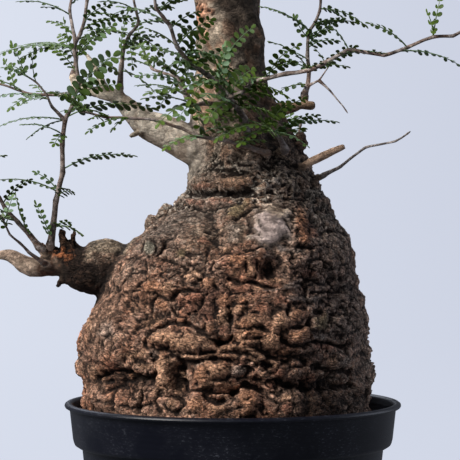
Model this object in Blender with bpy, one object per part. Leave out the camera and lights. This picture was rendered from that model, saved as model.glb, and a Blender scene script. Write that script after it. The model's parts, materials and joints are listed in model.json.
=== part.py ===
"""Potted operculicarya: a caudiciform tree with a swollen corky base in a round black nursery pot.

Blender 4.5, metres, +Z up. The origin is the middle of the pot's underside. The plant is seen from -Y.
Routes and reaches are written in millimetres and turned into metres by mm().
"""

import math

import bmesh
import bpy
from mathutils import Vector, noise

MM = 0.001


def mm(x, y, z):
    """A point or a reach given in millimetres, in metres."""
    return Vector((x, y, z)) * MM


# Driving dimensions
RIM_RADIUS = 90.0 * MM          # outside of the rolled lip: an 18 cm pot
POT_HEIGHT = 150.0 * MM
POT_WALL = 1.8 * MM
BAND_HEIGHT = 23.5 * MM         # the wide band under the lip
FOOT_RADIUS = 67.0 * MM
PAD_RADIUS = 15.0 * MM          # flat pad in the middle of the underside
FLOOR_RISE = 4.0 * MM           # how far the pierced floor stands over the ground
DRAIN_RADIUS = 5.5 * MM
DRAIN_CIRCLE = 38.0 * MM
DRAINS = 6
GAP = 0.3 * MM                  # clearance where two pieces touch
SOIL_TOP = 126.0 * MM
BURIED_BOTTOM = 96.0 * MM       # flat underside of the buried wood
BURIED_TOP = 134.0 * MM
BURIED_FOOT_RADIUS = 56.0 * MM
BURIED_TOP_RADIUS = 69.0 * MM
TRUNK_TOP = 416.0 * MM          # where the trunk divides
BLADE = 0.8 * MM                # thickness of a leaf
RIB = 1.1 * MM                  # width of a leaf's rib

POT_SIDES = 36
SOIL_SIDES = 32
CAUDEX_SIDES = 44
TRUNK_SIDES = 22                # half of CAUDEX_SIDES, above HALVING
HALVING = 262.0 * MM
CALM_EDGE = 0.45                # how much of the bark's relief is left at the outline's two edges

# Outline of the wood seen from the front: height, left edge, right edge, in millimetres
OUTLINE = [
    (134, -70.5, 68.5), (146, -77.0, 75.0), (160, -81.5, 77.0), (175, -83.0, 75.0),
    (190, -80.5, 73.5), (208, -74.0, 69.0), (223, -66.0, 65.5), (236, -56.0, 61.5),
    (247, -43.0, 55.5), (256, -31.0, 50.5), (267, -25.5, 45.0), (282, -24.0, 38.0),
    (301, -23.0, 28.0), (324, -21.0, 18.5), (345, -20.5, 16.5), (365, -21.0, 14.5),
    (386, -24.0, 13.5), (404, -27.0, 14.5), (416, -22.0, 10.0),
]

# Colours as linear values
BARK = (0.145, 0.075, 0.045)
LEAF = (0.030, 0.105, 0.030)
POT_BLACK = (0.008, 0.009, 0.012)
SOIL_BROWN = (0.040, 0.028, 0.020)


def material(name, colour, roughness):
    """A plain surface of one colour."""
    made = bpy.data.materials.new(name)
    made.use_nodes = True
    surface = made.node_tree.nodes["Principled BSDF"]
    surface.inputs["Base Color"].default_value = (*colour, 1.0)
    surface.inputs["Roughness"].default_value = roughness
    surface.inputs["Metallic"].default_value = 0.0
    return made


def to_object(name, bm):
    """Close a bmesh into a named object with its faces pointing out."""
    bmesh.ops.recalc_face_normals(bm, faces=bm.faces)
    mesh = bpy.data.meshes.new(name)
    bm.to_mesh(mesh)
    bm.free()
    made = bpy.data.objects.new(name, mesh)
    bpy.context.scene.collection.objects.link(made)
    return made


def dress(made, surface, smooth_below=50.0):
    """Give a piece its material and smooth its soft edges."""
    made.data.materials.clear()
    made.data.materials.append(surface)
    made.data.shade_smooth()
    made.data.set_sharp_from_angle(angle=math.radians(smooth_below))
    return made


def apply_modifiers(made):
    """Replace a piece's mesh by what its modifiers make of it."""
    graph = bpy.context.evaluated_depsgraph_get()
    graph.update()
    mesh = bpy.data.meshes.new_from_object(made.evaluated_get(graph))
    made.modifiers.clear()
    made.data = mesh
    return made


def fuse(name, pieces):
    """Join overlapping closed pieces into one by a Boolean union on a collection."""
    first, rest = pieces[0], pieces[1:]
    first.name = name
    if not rest:
        return first
    group = bpy.data.collections.new(name + "_parts")
    bpy.context.scene.collection.children.link(group)
    for piece in rest:
        bpy.context.scene.collection.objects.unlink(piece)
        group.objects.link(piece)
    union = first.modifiers.new("join", "BOOLEAN")
    union.operation = "UNION"
    union.operand_type = "COLLECTION"
    union.collection = group
    union.solver = "EXACT"
    apply_modifiers(first)
    for piece in rest:
        bpy.data.objects.remove(piece)
    bpy.data.collections.remove(group)
    return first


def turned(name, profile, sides):
    """Turn a closed (radius, height) profile about the upright axis. Points at radius 0 become poles."""
    bm = bmesh.new()
    rings = []
    for radius, height in profile:
        if radius == 0.0:
            rings.append([bm.verts.new((0.0, 0.0, height))])
            continue
        ring = []
        for side in range(sides):
            angle = math.tau * side / sides
            ring.append(bm.verts.new((radius * math.cos(angle), radius * math.sin(angle), height)))
        rings.append(ring)
    joins = list(zip(rings, rings[1:]))
    if len(rings[0]) > 1:
        joins.append((rings[-1], rings[0]))
    for low, high in joins:
        for side in range(sides):
            after = (side + 1) % sides
            corners = [low[side % len(low)], low[after % len(low)], high[after % len(high)], high[side % len(high)]]
            bm.faces.new(list(dict.fromkeys(corners)))
    return to_object(name, bm)


def frame_along(axis, before):
    """Two directions square to axis, turned as little as possible from the direction before."""
    side = before - axis * before.dot(axis)
    if side.length < 1e-6:
        side = axis.orthogonal()
    side.normalize()
    return side, axis.cross(side)


def tube(name, points, radii, sides, lump=0.0, start_axis=None):
    """A closed limb through points, one ring each, with its ends cut square."""
    bm = bmesh.new()
    rings = []
    side = Vector((0.0, 1.0, 0.0))
    last = len(points) - 1
    for index, (point, radius) in enumerate(zip(points, radii)):
        axis = points[min(index + 1, last)] - points[max(index - 1, 0)]
        if index == 0 and start_axis is not None:
            axis = start_axis
        side, other = frame_along(axis.normalized(), side)
        ring = []
        for step in range(sides):
            angle = math.tau * step / sides
            outward = side * math.cos(angle) + other * math.sin(angle)
            place = point + outward * radius
            place += outward * lump * noise.noise(place / (9.0 * MM))
            ring.append(bm.verts.new(place))
        rings.append(ring)
    for low, high in zip(rings, rings[1:]):
        for step in range(sides):
            after = (step + 1) % sides
            bm.faces.new((low[step], low[after], high[after], high[step]))
    bm.faces.new(rings[0])
    bm.faces.new(rings[-1])
    return to_object(name, bm)


def between(values, where):
    """The value at a fractional place along a list."""
    low = max(0, min(int(where), len(values) - 2))
    part = where - low
    return values[low] * (1.0 - part) + values[low + 1] * part


def smooth_between(rows, height):
    """Left and right edge of the outline at a height, on a smooth curve through its rows."""
    heights = [row[0] * MM for row in rows]
    place = 0
    while place < len(rows) - 2 and height > heights[place + 1]:
        place += 1
    span = heights[place + 1] - heights[place]
    part = min(max((height - heights[place]) / span, 0.0), 1.0)
    edges = []
    for column in (1, 2):
        p0 = rows[max(place - 1, 0)][column]
        p1 = rows[place][column]
        p2 = rows[place + 1][column]
        p3 = rows[min(place + 2, len(rows) - 1)][column]
        edge = p1 + 0.5 * part * (p2 - p0 + part * (2 * p0 - 5 * p1 + 4 * p2 - p3 + part * (3 * (p1 - p2) + p3 - p0)))
        edges.append(edge * MM)
    return edges


# The pot

def make_pot(surface):
    """Thin moulded pot: rolled lip, wide band, step, tapered wall, pierced floor on a foot ring and a pad."""
    band_foot = POT_HEIGHT - BAND_HEIGHT
    wall_top = RIM_RADIUS - 9.4 * MM
    floor_top = FLOOR_RISE + POT_WALL
    outside = [
        (0.0, 0.0), (PAD_RADIUS, 0.0), (PAD_RADIUS + 2 * MM, FLOOR_RISE),
        (FOOT_RADIUS - 8 * MM, FLOOR_RISE), (FOOT_RADIUS - 6 * MM, 0.0), (FOOT_RADIUS - 1.5 * MM, 0.0),
        (FOOT_RADIUS, 2 * MM), (wall_top, band_foot - 0.5 * MM),
        (RIM_RADIUS - 5.6 * MM, band_foot + 1.2 * MM), (RIM_RADIUS - 4.5 * MM, band_foot + 3.6 * MM),
        (RIM_RADIUS - 2.7 * MM, POT_HEIGHT - 3.4 * MM),
    ]
    lip = [
        (RIM_RADIUS - 0.6 * MM, POT_HEIGHT - 2.8 * MM), (RIM_RADIUS, POT_HEIGHT - 1.5 * MM),
        (RIM_RADIUS - 0.7 * MM, POT_HEIGHT - 0.3 * MM), (RIM_RADIUS - 2.2 * MM, POT_HEIGHT),
        (RIM_RADIUS - 3.8 * MM, POT_HEIGHT - 0.7 * MM),
    ]
    inside = [
        (RIM_RADIUS - 4.5 * MM - POT_WALL, band_foot + 4 * MM), (wall_top - POT_WALL, band_foot + 1.6 * MM),
        (FOOT_RADIUS - 1.5 * MM, floor_top), (0.0, floor_top),
    ]
    pot = turned("pot", outside + lip + inside, POT_SIDES)
    for number in range(DRAINS):
        angle = math.tau * number / DRAINS
        place = (DRAIN_CIRCLE * math.cos(angle), DRAIN_CIRCLE * math.sin(angle), floor_top / 2)
        bpy.ops.mesh.primitive_cylinder_add(vertices=10, radius=DRAIN_RADIUS, depth=4 * floor_top, location=place)
        drill = bpy.context.object
        drill.hide_render = True
        drill.display_type = "WIRE"
        cut = pot.modifiers.new("drain", "BOOLEAN")
        cut.operation = "DIFFERENCE"
        cut.solver = "EXACT"
        cut.object = drill
        apply_modifiers(pot)
        bpy.data.objects.remove(drill)
    return dress(pot, surface, 35.0)


def make_soil(surface):
    """Soil that fills the pot, with a plain round hole for the buried wood."""
    band_foot = POT_HEIGHT - BAND_HEIGHT
    floor = FLOOR_RISE + POT_WALL + GAP
    taper = (RIM_RADIUS - 9.4 * MM - FOOT_RADIUS) / (band_foot - 2.5 * MM)
    wall_top = RIM_RADIUS - 9.4 * MM - POT_WALL - GAP - 0.4 * MM
    wall_low = wall_top - taper * (SOIL_TOP - floor) - 0.4 * MM
    slope = (BURIED_TOP_RADIUS - BURIED_FOOT_RADIUS) / (BURIED_TOP - BURIED_BOTTOM)
    hole_top = BURIED_FOOT_RADIUS + slope * (SOIL_TOP - BURIED_BOTTOM) + 2 * GAP
    hole_low = BURIED_FOOT_RADIUS + GAP
    profile = [
        (0.0, floor), (wall_low, floor), (wall_top, SOIL_TOP - 1.0 * MM), (wall_top - 3 * MM, SOIL_TOP + 0.6 * MM),
        (hole_top + 1.5 * MM, SOIL_TOP), (hole_top, SOIL_TOP - 0.6 * MM), (hole_low, BURIED_BOTTOM - GAP),
        (0.0, BURIED_BOTTOM - GAP),
    ]
    return dress(turned("soil", profile, SOIL_SIDES), surface, 40.0)


# The wood

def relief(place, height):
    """How far the corky bark stands out: lumps all over, long drapery folds low on the front and right."""
    lumps = noise.noise(place / (20.0 * MM)) * 5.4 * MM
    lumps += noise.noise(place / (11.0 * MM) + Vector((7.0, 3.0, 1.0))) * 2.6 * MM
    fold_band = math.exp(-((height - 182.0 * MM) / (22.0 * MM)) ** 2)
    wander = 1.6 * noise.noise(Vector((place.x, place.y, 0.0)) / (34.0 * MM))
    folds = math.sin(math.tau * height / (15.0 * MM) + 3.0 * wander) * 2.2 * MM * fold_band
    slim = 1.0 if height < HALVING else 0.55
    fade = min(max((height - BURIED_TOP) / (14.0 * MM), 0.0), 1.0)
    return (lumps * slim + folds) * fade


def wood_ring(bm, height, sides):
    """One ring of the caudex and trunk at a height."""
    if height <= BURIED_TOP:
        slope = (BURIED_TOP_RADIUS - BURIED_FOOT_RADIUS) / (BURIED_TOP - BURIED_BOTTOM)
        radius = BURIED_FOOT_RADIUS + slope * (height - BURIED_BOTTOM)
        left, right = -radius, radius
    else:
        left, right = smooth_between(OUTLINE, height)
    middle = (left + right) / 2
    wide = (right - left) / 2
    blend = min(max((height - BURIED_TOP) / (30 * MM), 0.0), 1.0)
    deep = wide * (1.0 - 0.05 * blend)
    back = 3.0 * MM * blend
    ring = []
    for side in range(sides):
        angle = math.tau * side / sides
        lobes = 1.0 + 0.045 * blend * math.sin(angle) ** 2 * math.sin(3.0 * angle + height / (45.0 * MM))
        place = Vector((middle + wide * math.cos(angle) * lobes, back + deep * math.sin(angle) * lobes, height))
        outward = Vector((math.cos(angle), math.sin(angle), 0.0))
        place += outward * relief(place, height) * (CALM_EDGE + (1.0 - CALM_EDGE) * abs(math.sin(angle)))
        ring.append(bm.verts.new(place))
    return ring


def wood_heights():
    """Heights of the rings: plain below the soil, close on the caudex, wider up the trunk."""
    heights = [BURIED_BOTTOM, BURIED_TOP]
    step = (HALVING - BURIED_TOP) / 21
    heights += [BURIED_TOP + step * number for number in range(1, 22)]
    step = (TRUNK_TOP - HALVING) / 15
    heights += [HALVING + step * number for number in range(1, 16)]
    return heights


def make_wood_body():
    """Caudex and trunk as one closed skin; the rings have half as many sides above HALVING."""
    bm = bmesh.new()
    rings = []
    for height in wood_heights():
        sides = CAUDEX_SIDES if height <= HALVING + 0.01 * MM else TRUNK_SIDES
        rings.append(wood_ring(bm, height, sides))
    for low, high in zip(rings, rings[1:]):
        count = len(high)
        for side in range(count):
            after = (side + 1) % count
            if len(low) == count:
                bm.faces.new((low[side], low[after], high[after], high[side]))
                continue
            first, middle, third = low[2 * side], low[2 * side + 1], low[(2 * side + 2) % len(low)]
            bm.faces.new((first, middle, high[side]))
            bm.faces.new((middle, high[after], high[side]))
            bm.faces.new((middle, third, high[after]))
    bm.faces.new(rings[0])
    bm.faces.new(rings[-1])
    return to_object("trunk", bm)


# Limbs, stubs and burls that are part of the wood: points in millimetres, radii in millimetres, sides
LIMBS = {
    "upper_left_limb": ([(2, 0, 270), (-17, -1, 282), (-36, 1, 293), (-45, 2, 297), (-53, 3, 304),
                         (-62, 5, 313), (-72, 8, 316), (-86, 12, 320)],
                        [15, 14, 9.5, 8.0, 5.6, 3.6, 3.2, 2.6], 9),
    "limb_cut_stub": ([(-44, 1, 298), (-55, -6, 291.5)], [2.2, 1.4], 5),
    "limb_broken_stub": ([(-66, 6, 313), (-75.5, 8, 331), (-80, 8, 338)], [2.7, 2.4, 1.5], 5),
    "left_branch": ([(-44, 2, 214), (-62, 0, 219), (-74, -1, 221.5), (-85, -2, 223), (-92, -3, 225),
                     (-97, -3, 226)],
                    [17, 16, 14.5, 12.5, 8.5, 6.5], 9),
    "left_branch_cut": ([(-92, -3, 224), (-101, -4, 222.5), (-110, -5, 223), (-118, -6, 226.5), (-127, -7, 228.5),
                         (-136, -8, 231)],
                        [6.0, 5.6, 5.2, 4.2, 3.6, 3.2], 7),
    "left_branch_nub": ([(-90, -3, 221), (-96, -6, 213), (-97, -7, 210)], [4.5, 2.8, 1.5], 5),
    "left_splinter_low": ([(-90, -4, 230), (-92, -5, 238), (-91.5, -5, 243)], [2.8, 2.0, 0.8], 5),
    "left_splinter_high": ([(-84, -1, 230), (-85, -2, 237), (-86, -2, 242)], [2.8, 2.0, 0.8], 5),
    "right_stub": ([(8, 0, 304), (26, -1, 307), (37, 0, 309), (44, 0, 310.5)], [6.5, 4.6, 4.2, 3.6], 7),
    "right_broken_stub": ([(27, -8, 270), (38, -14, 276), (50, -17, 282), (60, -19, 286)],
                          [4.2, 2.6, 2.5, 1.3], 6),
    "right_burl": ([(24, -2, 284), (34, -3, 288), (41, -4, 289)], [9.0, 7.0, 3.0], 7),
    "right_low_burl": ([(62, -14, 162), (73, -18, 161), (77.5, -19, 160)], [10.0, 8.0, 4.0], 8),
    "front_scar": ([(-36, -32, 230.5), (-44.5, -41, 233)], [6.8, 5.8], 9),
    "fork_left": ([(-9, 2, 392), (-16, 3, 410), (-25, 6, 428), (-33, 8, 450)], [16, 14.5, 12, 9.5], 10),
    "fork_right": ([(-1, 1, 390), (3, 0, 412), (8, -4, 436), (12, -8, 468)], [14.5, 13.5, 11, 8.5], 10),
    "back_limb": ([(0, 8, 318), (-1, 24, 330), (-2, 38, 346), (-4, 46, 366)], [10, 7.5, 5.5, 4.2], 7),
    "back_burl": ([(-20, 40, 214), (-28, 66, 222), (-31, 76, 224)], [16, 11, 5.5], 8),
}


class Shoot:
    """A leafy shoot: where it leaves the wood, its twigs and its fronds.

    root is a point inside the wood and twigs[0][0] is the flat foot of the shoot. A frond is (twig, place along
    the twig's points, reach from there to its tip, pairs of leaflets, roll in degrees). Roll 0 lies flat.
    """

    def __init__(self, root, thick, twigs, fronds):
        self.root = mm(*root)
        self.thick = thick
        self.twigs = [[mm(*point) for point in twig] for twig in twigs]
        self.fronds = fronds


SHOOTS = {
    "shoot_left_upright": Shoot(
        (-97, -3, 224), 2.4,
        [[(-97.5, -5, 233.5), (-95.5, -8, 244.5), (-94, -9, 257.5), (-90.5, -10, 272.5), (-90.5, -11, 287),
          (-89, -12, 300), (-85, -13, 308), (-81.5, -14, 320), (-84, -15, 338), (-80.5, -15, 345.5),
          (-78, -16, 353.5), (-77, -16, 363), (-74.5, -17, 376), (-77.5, -18, 388), (-74, -18, 399.5)],
         [(-89, -12, 300), (-95.5, -14, 307), (-98.5, -15, 313.5), (-104, -16, 320), (-110, -17, 323.5)]],
        [(0, 2.3, (-32, -7, 6), 4, 10), (0, 2.1, (9, -13, 3), 3, 30), (0, 0.9, (15, -10, -3), 3, 20),
         (0, 3.1, (37, -8, 7), 4, 15), (0, 4.4, (-19, -10, 5), 3, 10), (0, 5.0, (-35, -6, -4), 4, 8),
         (0, 8.0, (-40, -8, -5), 4, 20), (0, 7.7, (20, -10, 16), 4, 60), (0, 6.3, (23, -12, 6), 4, 55),
         (0, 9.2, (27, -6, 6), 4, 25), (0, 12.0, (-30, -6, 8), 4, 10),
         (0, 13.0, (27, -4, 10), 4, 15), (0, 14.0, (-14, -8, 24), 4, 30),
         (1, 1.6, (-26, -7, 1), 4, 12), (1, 3.9, (-6, -4, 15), 3, 50)]),
    "shoot_left_low": Shoot(
        (-96, -3, 226), 2.2,
        [[(-103.5, -6, 233), (-108, -8, 239), (-114, -12, 246), (-120.5, -15, 253.5), (-123, -17, 259),
          (-128.5, -20, 265.5), (-133.5, -22, 274.5), (-141.5, -24, 279.5)]],
        [(0, 1.0, (-6, -10, 20), 4, 70), (0, 4.6, (-24, -5, -4), 4, 10), (0, 6.9, (-8, -6, 20), 4, 30)]),
    "shoot_left_thin": Shoot(
        (-95, -4, 222), 1.5,
        [[(-100.5, -12.5, 224.5), (-107.5, -17, 230), (-112, -20, 235), (-117, -23, 239.5), (-120, -26, 247)]],
        [(0, 3.9, (-14, -10, 10), 3, 20)]),
    "shoot_limb_middle": Shoot(
        (-62, 5, 312), 2.0,
        [[(-61, 4, 318.5), (-60, 3, 330), (-59, 2, 338), (-57.5, 2, 342.5), (-55.5, 1, 347), (-50.5, 0, 353),
          (-52, 0, 359.5), (-53.5, 0, 368)]],
        [(0, 3.5, (3, -8, -15), 3, 40), (0, 4.9, (26, -16, -4), 3, 15), (0, 6.0, (-17, -8, 4), 3, 10),
         (0, 6.9, (9, -6, 24), 3, 40)]),
    "shoot_front_dark": Shoot(
        (-3, -12, 305), 2.0,
        [[(-6, -27, 307), (-14.5, -31, 307.5), (-20.5, -33, 306.5), (-24, -34, 314), (-27, -34, 320),
          (-32, -32, 324)]],
        [(0, 2.0, (-24, -8, 3), 4, 15), (0, 3.5, (-22, -8, 4), 4, 35), (0, 4.9, (-20, 0, 10), 4, 20)]),
    "shoot_limb_flat": Shoot(
        (-79, 10, 318), 1.6,
        [[(-83, 17, 318.5), (-94, 21, 316), (-111.5, 24, 316.5), (-118, 26, 319), (-128.5, 29, 322.5),
          (-144.5, 31, 324)]],
        [(0, 1.6, (-16, -10, -8), 3, 20), (0, 3.8, (-14, 12, 10), 3, 10), (0, 4.9, (-12, -8, 12), 3, 30)]),
    "shoot_limb_back": Shoot(
        (-84, 11.5, 319), 2.0,
        [[(-87, 15, 326), (-86, 24, 336.5), (-88, 32, 349.5), (-91, 38, 364.5), (-90, 40, 372), (-91.5, 44, 392)]],
        [(0, 1.3, (-26, 8, 5), 3, 10), (0, 2.8, (-28, 2, 8), 3, 10),
         (0, 4.9, (-10, 8, 24), 3, 30)]),
    "shoot_front_long": Shoot(
        (17, -18, 279), 1.9,
        [[(18, -32.5, 281.5), (8, -36.5, 284.5), (-3, -38, 287.5), (-17.5, -40, 290), (-27.5, -40, 294.5),
          (-41, -41, 298.5), (-53, -41, 299.5), (-66, -41, 300), (-76.5, -40, 302.5)]],
        [(0, 3.0, (-16, -10, -6), 3, 20), (0, 6.0, (-20, -7, -7), 4, 20),
         (0, 6.8, (-22, -5, 3), 4, 10), (0, 7.9, (-15, -8, 9), 3, 35)]),
    "shoot_front_left": Shoot(
        (-3, -12, 312), 2.0,
        [[(-6.5, -25, 317.5), (-13.5, -33, 322.5), (-23.5, -42, 329), (-28.5, -47, 335.5), (-32, -51, 345.5),
          (-35.5, -54, 350), (-39, -56, 354), (-39.5, -58, 361), (-36, -60, 374), (-41, -61, 385)]],
        [(0, 2.0, (-26, -8, 6), 3, 25), (0, 3.0, (17, -10, 12), 3, 50), (0, 4.2, (-23, -6, 8), 3, 20),
         (0, 5.6, (21, -8, 10), 3, 30), (0, 7.3, (-22, -6, 6), 3, 10), (0, 8.9, (11, -6, 22), 3, 30)]),
    "shoot_right_long": Shoot(
        (8, -20, 292), 2.3,
        [[(7.5, -35, 291), (6, -39, 299), (3.5, -41, 303), (-2, -46, 309.5), (3.5, -50, 311.5), (8, -52, 314.5),
          (13.5, -55, 317.5), (27, -60, 320.5), (38, -64, 322), (46.5, -67, 325.5), (57.5, -70, 331.5),
          (75, -74, 328.5), (86, -77, 332), (98.5, -80, 337), (108, -82, 337), (121, -84, 344), (132, -86, 343)],
         [(-2, -46, 309.5), (-3.5, -47, 314), (-7, -48, 317)]],
        [(0, 1.0, (-23, -12, 1), 3, 20), (0, 2.2, (19, -14, -5), 3, 25), (0, 3.0, (-22, -12, 9), 3, 40),
         (0, 4.6, (6, -14, 28), 4, 65), (0, 6.3, (14, -12, 15), 3, 40),
         (0, 9.3, (24, -8, 2), 3, 15), (0, 10.0, (3, -8, 17), 3, 60), (0, 11.4, (32, -5, -7), 4, 10),
         (0, 12.4, (-19, -4, 12), 3, 30), (0, 13.6, (4, -3, 18), 3, 60), (0, 15.0, (18, -6, -10), 3, 20),
         (0, 15.9, (20, 3, 11), 3, 15)]),
    "shoot_right_upright": Shoot(
        (37.5, 0, 307), 2.2,
        [[(38.5, 0, 315), (40, 0, 319), (41, 2, 328), (40, 3, 336), (41, 4, 348.5), (44, 5, 353), (47, 6, 360),
          (47.5, 7, 367), (46, 8, 378), (50.5, 9, 390)],
         [(40, 0, 319), (46, -3, 322), (51, -6, 329)],
         [(46, -3, 322), (52, -6, 316), (59.5, -11, 306)]],
        [(0, 2.0, (-20, -16, 13), 3, 20), (0, 4.1, (-25, -16, 11), 3, 15), (0, 4.8, (20, -9, 1), 3, 20),
         (0, 6.2, (23, -6, -9), 3, 25), (0, 8.9, (18, 8, 14), 3, 30),
         (1, 1.9, (13, -9, 10), 3, 30)]),
    "shoot_right_bare": Shoot(
        (36, -2, 264), 1.6,
        [[(48.5, -7, 271), (57, -10, 275.5), (70.5, -14, 285.5), (85.5, -18, 288.5), (91, -20, 292)]],
        []),
    "shoot_front_grey": Shoot(
        (24, -14, 281), 2.3,
        [[(27, -32, 283.5), (24.5, -37, 289), (20, -41, 292.5), (15, -44, 295)]],
        [(0, 1.9, (31, -6, 5), 4, 15), (0, 2.9, (5, -17, -4), 3, 30)]),
    "shoot_back_left": Shoot(
        (-10, 10, 306), 2.2,
        [[(-17, 25, 311), (-26, 38, 316), (-32, 50, 328), (-46, 62, 334), (-52, 76, 347)]],
        [(0, 1.1, (-26, 6, 6), 3, 10), (0, 2.1, (16, 20, 8), 3, 15), (0, 3.1, (-28, 4, 4), 3, 10),
         (0, 3.9, (-6, 16, 20), 3, 30)]),
    "shoot_back_right": Shoot(
        (-3.5, 43, 358), 2.4,
        [[(-4.5, 48, 371), (3, 56, 382), (6, 64, 397), (22, 72, 405), (27, 78, 420)]],
        [(0, 1.0, (24, 10, 6), 3, 10), (0, 2.0, (-20, 18, 6), 3, 15), (0, 3.0, (26, 6, 4), 3, 10),
         (0, 3.9, (-8, 10, 22), 3, 30)]),
    "shoot_back_low": Shoot(
        (22, 20, 260), 2.2,
        [[(32, 41, 269), (37, 54, 278), (36, 66, 292), (49, 80, 300), (52, 92, 314)]],
        [(0, 1.1, (26, 8, 6), 3, 10), (0, 2.1, (-20, 18, 6), 3, 15), (0, 3.1, (26, 8, 4), 3, 10),
         (0, 3.9, (-10, 14, 20), 3, 30)]),
    "shoot_top_left": Shoot(
        (-30, 7, 438), 2.2,
        [[(-43, 4, 444), (-55, 2, 452), (-58, -2, 468), (-72, -6, 476), (-76, -8, 490)]],
        [(0, 1.1, (-24, -14, -2), 3, 10), (0, 2.1, (12, -22, 6), 3, 20), (0, 3.1, (-24, 12, 2), 3, 10)]),
    "shoot_top_front": Shoot(
        (-22, 4, 428), 2.0,
        [[(-24, -10, 434), (-26, -22, 442), (-20, -30, 456), (-28, -40, 468)]],
        [(0, 1.1, (-26, -10, 2), 3, 10), (0, 2.0, (24, -14, 4), 3, 15), (0, 2.9, (-10, -18, 14), 3, 30)]),
    "shoot_top_right": Shoot(
        (9, -6, 450), 2.2,
        [[(22, -8, 455), (34, -10, 462), (39, -14, 480), (53, -18, 488)]],
        [(0, 0.9, (26, -12, -2), 3, 10), (0, 2.0, (-18, -18, 8), 3, 20), (0, 2.9, (20, 8, 12), 3, 15)]),
    "shoot_top_back": Shoot(
        (7, -4, 440), 2.2,
        [[(9, 9, 446), (6, 22, 458), (12, 34, 474), (4, 46, 486)]],
        [(0, 1.0, (26, 10, 4), 3, 10), (0, 2.0, (-24, 14, 2), 3, 15), (0, 2.9, (10, 20, 14), 3, 25)]),
}

BUTT = 1.25                     # how much stouter the collar is than the shoot's foot
TIP_THICK = 0.45                # a twig's radius at its tip, as a share of its foot
LEAFLET_REACH = 0.155           # a leaflet's length as a share of its frond's
BARE_STALK = 0.16               # the part of a frond's rib below its first pair


def make_frond(name, base, reach, pairs, roll):
    """A feather-shaped leaf: leaflets cut to the rib in the outline of one thin arched blade."""
    along = reach.normalized()
    reference = Vector((0.0, 0.0, 1.0)) if abs(along.z) < 0.8 else Vector((0.0, -1.0, 0.0))
    side = along.cross(reference).normalized()
    lift = side.cross(along)
    turn = math.radians(roll)
    across = side * math.cos(turn) + lift * math.sin(turn)
    normal = across.cross(along)
    length = reach.length
    leaflet = length * LEAFLET_REACH + 1.6 * MM

    def rib_point(part):
        return base + reach * part + lift * (0.36 * length * part * (1.0 - part))

    bm = bmesh.new()
    stations = [0.0] + [BARE_STALK + (0.97 - BARE_STALK) * step / pairs for step in range(pairs + 1)]
    rows = []
    for part in stations:
        middle = rib_point(part)
        rows.append([bm.verts.new(middle + across * RIB / 2), bm.verts.new(middle - across * RIB / 2)])
    for low, high in zip(rows, rows[1:]):
        bm.faces.new((low[0], low[1], high[1], high[0]))
    for number in range(1, pairs + 1):
        low, high = rows[number], rows[number + 1]
        middle = rib_point((stations[number] + stations[number + 1]) / 2)
        step = (stations[number + 1] - stations[number]) * length
        size = leaflet * (0.82 + 0.3 * math.sin(math.pi * (number - 0.3) / pairs))
        for hand, sign in ((0, 1.0), (1, -1.0)):
            outer = middle + across * sign * (size + RIB / 2) + along * (0.30 * step) - normal * 0.10 * size
            near = bm.verts.new(outer - along * 0.40 * step)
            far = bm.verts.new(outer + along * 0.34 * step - across * sign * 0.08 * size)
            bm.faces.new((low[hand], near, far))
            bm.faces.new((low[hand], far, high[hand]))
    tip = rib_point(1.0) + along * leaflet * 0.8
    left = bm.verts.new(tip + across * leaflet * 0.36)
    right = bm.verts.new(tip - across * leaflet * 0.36)
    bm.faces.new((rows[-1][0], rows[-1][1], right, left))
    bmesh.ops.triangulate(bm, faces=bm.faces)
    grown = bmesh.ops.extrude_face_region(bm, geom=list(bm.faces))
    raised = [item for item in grown["geom"] if isinstance(item, bmesh.types.BMVert)]
    bmesh.ops.translate(bm, verts=raised, vec=normal * BLADE)
    return to_object(name, bm)


def shoot_axis(shoot):
    """The way the shoot leaves the wood."""
    return (shoot.twigs[0][0] - shoot.root).normalized()


def make_collar(name, shoot):
    """The stub of wood that a shoot stands on, cut square where the shoot begins."""
    foot = shoot.twigs[0][0]
    radius = shoot.thick * BUTT * MM
    return tube(name, [shoot.root, foot], [radius * 1.15, radius], 5, 0.0, shoot_axis(shoot))


def make_shoot(name, shoot, surface):
    """One leafy shoot: its twigs and its fronds joined into one piece."""
    pieces = []
    for number, twig in enumerate(shoot.twigs):
        thick = shoot.thick * MM * (1.0 if number == 0 else 0.6)
        last = len(twig) - 1
        radii = [thick * (1.0 - (1.0 - TIP_THICK) * (place / last) ** 0.8) for place in range(last + 1)]
        points = list(twig)
        start_axis = None
        if number == 0:
            start_axis = shoot_axis(shoot)
            points[0] = points[0] + start_axis * GAP
        pieces.append(tube(f"{name}_twig{number}", points, radii, 4, 0.0, start_axis))
    for number, (twig, place, reach, pairs, roll) in enumerate(shoot.fronds):
        base = between(shoot.twigs[twig], place)
        pieces.append(make_frond(f"{name}_frond{number}", base, mm(*reach), pairs, roll))
    return dress(fuse(name, pieces), surface, 30.0)


def make_trunk(surface):
    """Caudex, trunk, limbs, stubs, burls and collars grown as one piece of wood."""
    pieces = [make_wood_body()]
    for name, (points, radii, sides) in LIMBS.items():
        route = [mm(*point) for point in points]
        pieces.append(tube(name, route, [radius * MM for radius in radii], sides, 1.1 * MM))
    for name, shoot in SHOOTS.items():
        pieces.append(make_collar(name + "_collar", shoot))
    return dress(fuse("trunk", pieces), surface, 45.0)


def clear_scene():
    """Remove whatever the open file holds."""
    for item in list(bpy.data.objects):
        bpy.data.objects.remove(item)


def main():
    clear_scene()
    make_pot(material("black polypropylene", POT_BLACK, 0.42))
    make_soil(material("potting soil", SOIL_BROWN, 0.95))
    make_trunk(material("corky bark", BARK, 0.85))
    leaf = material("leaf", LEAF, 0.5)
    for name, shoot in SHOOTS.items():
        make_shoot(name, shoot, leaf)


main()
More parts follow.
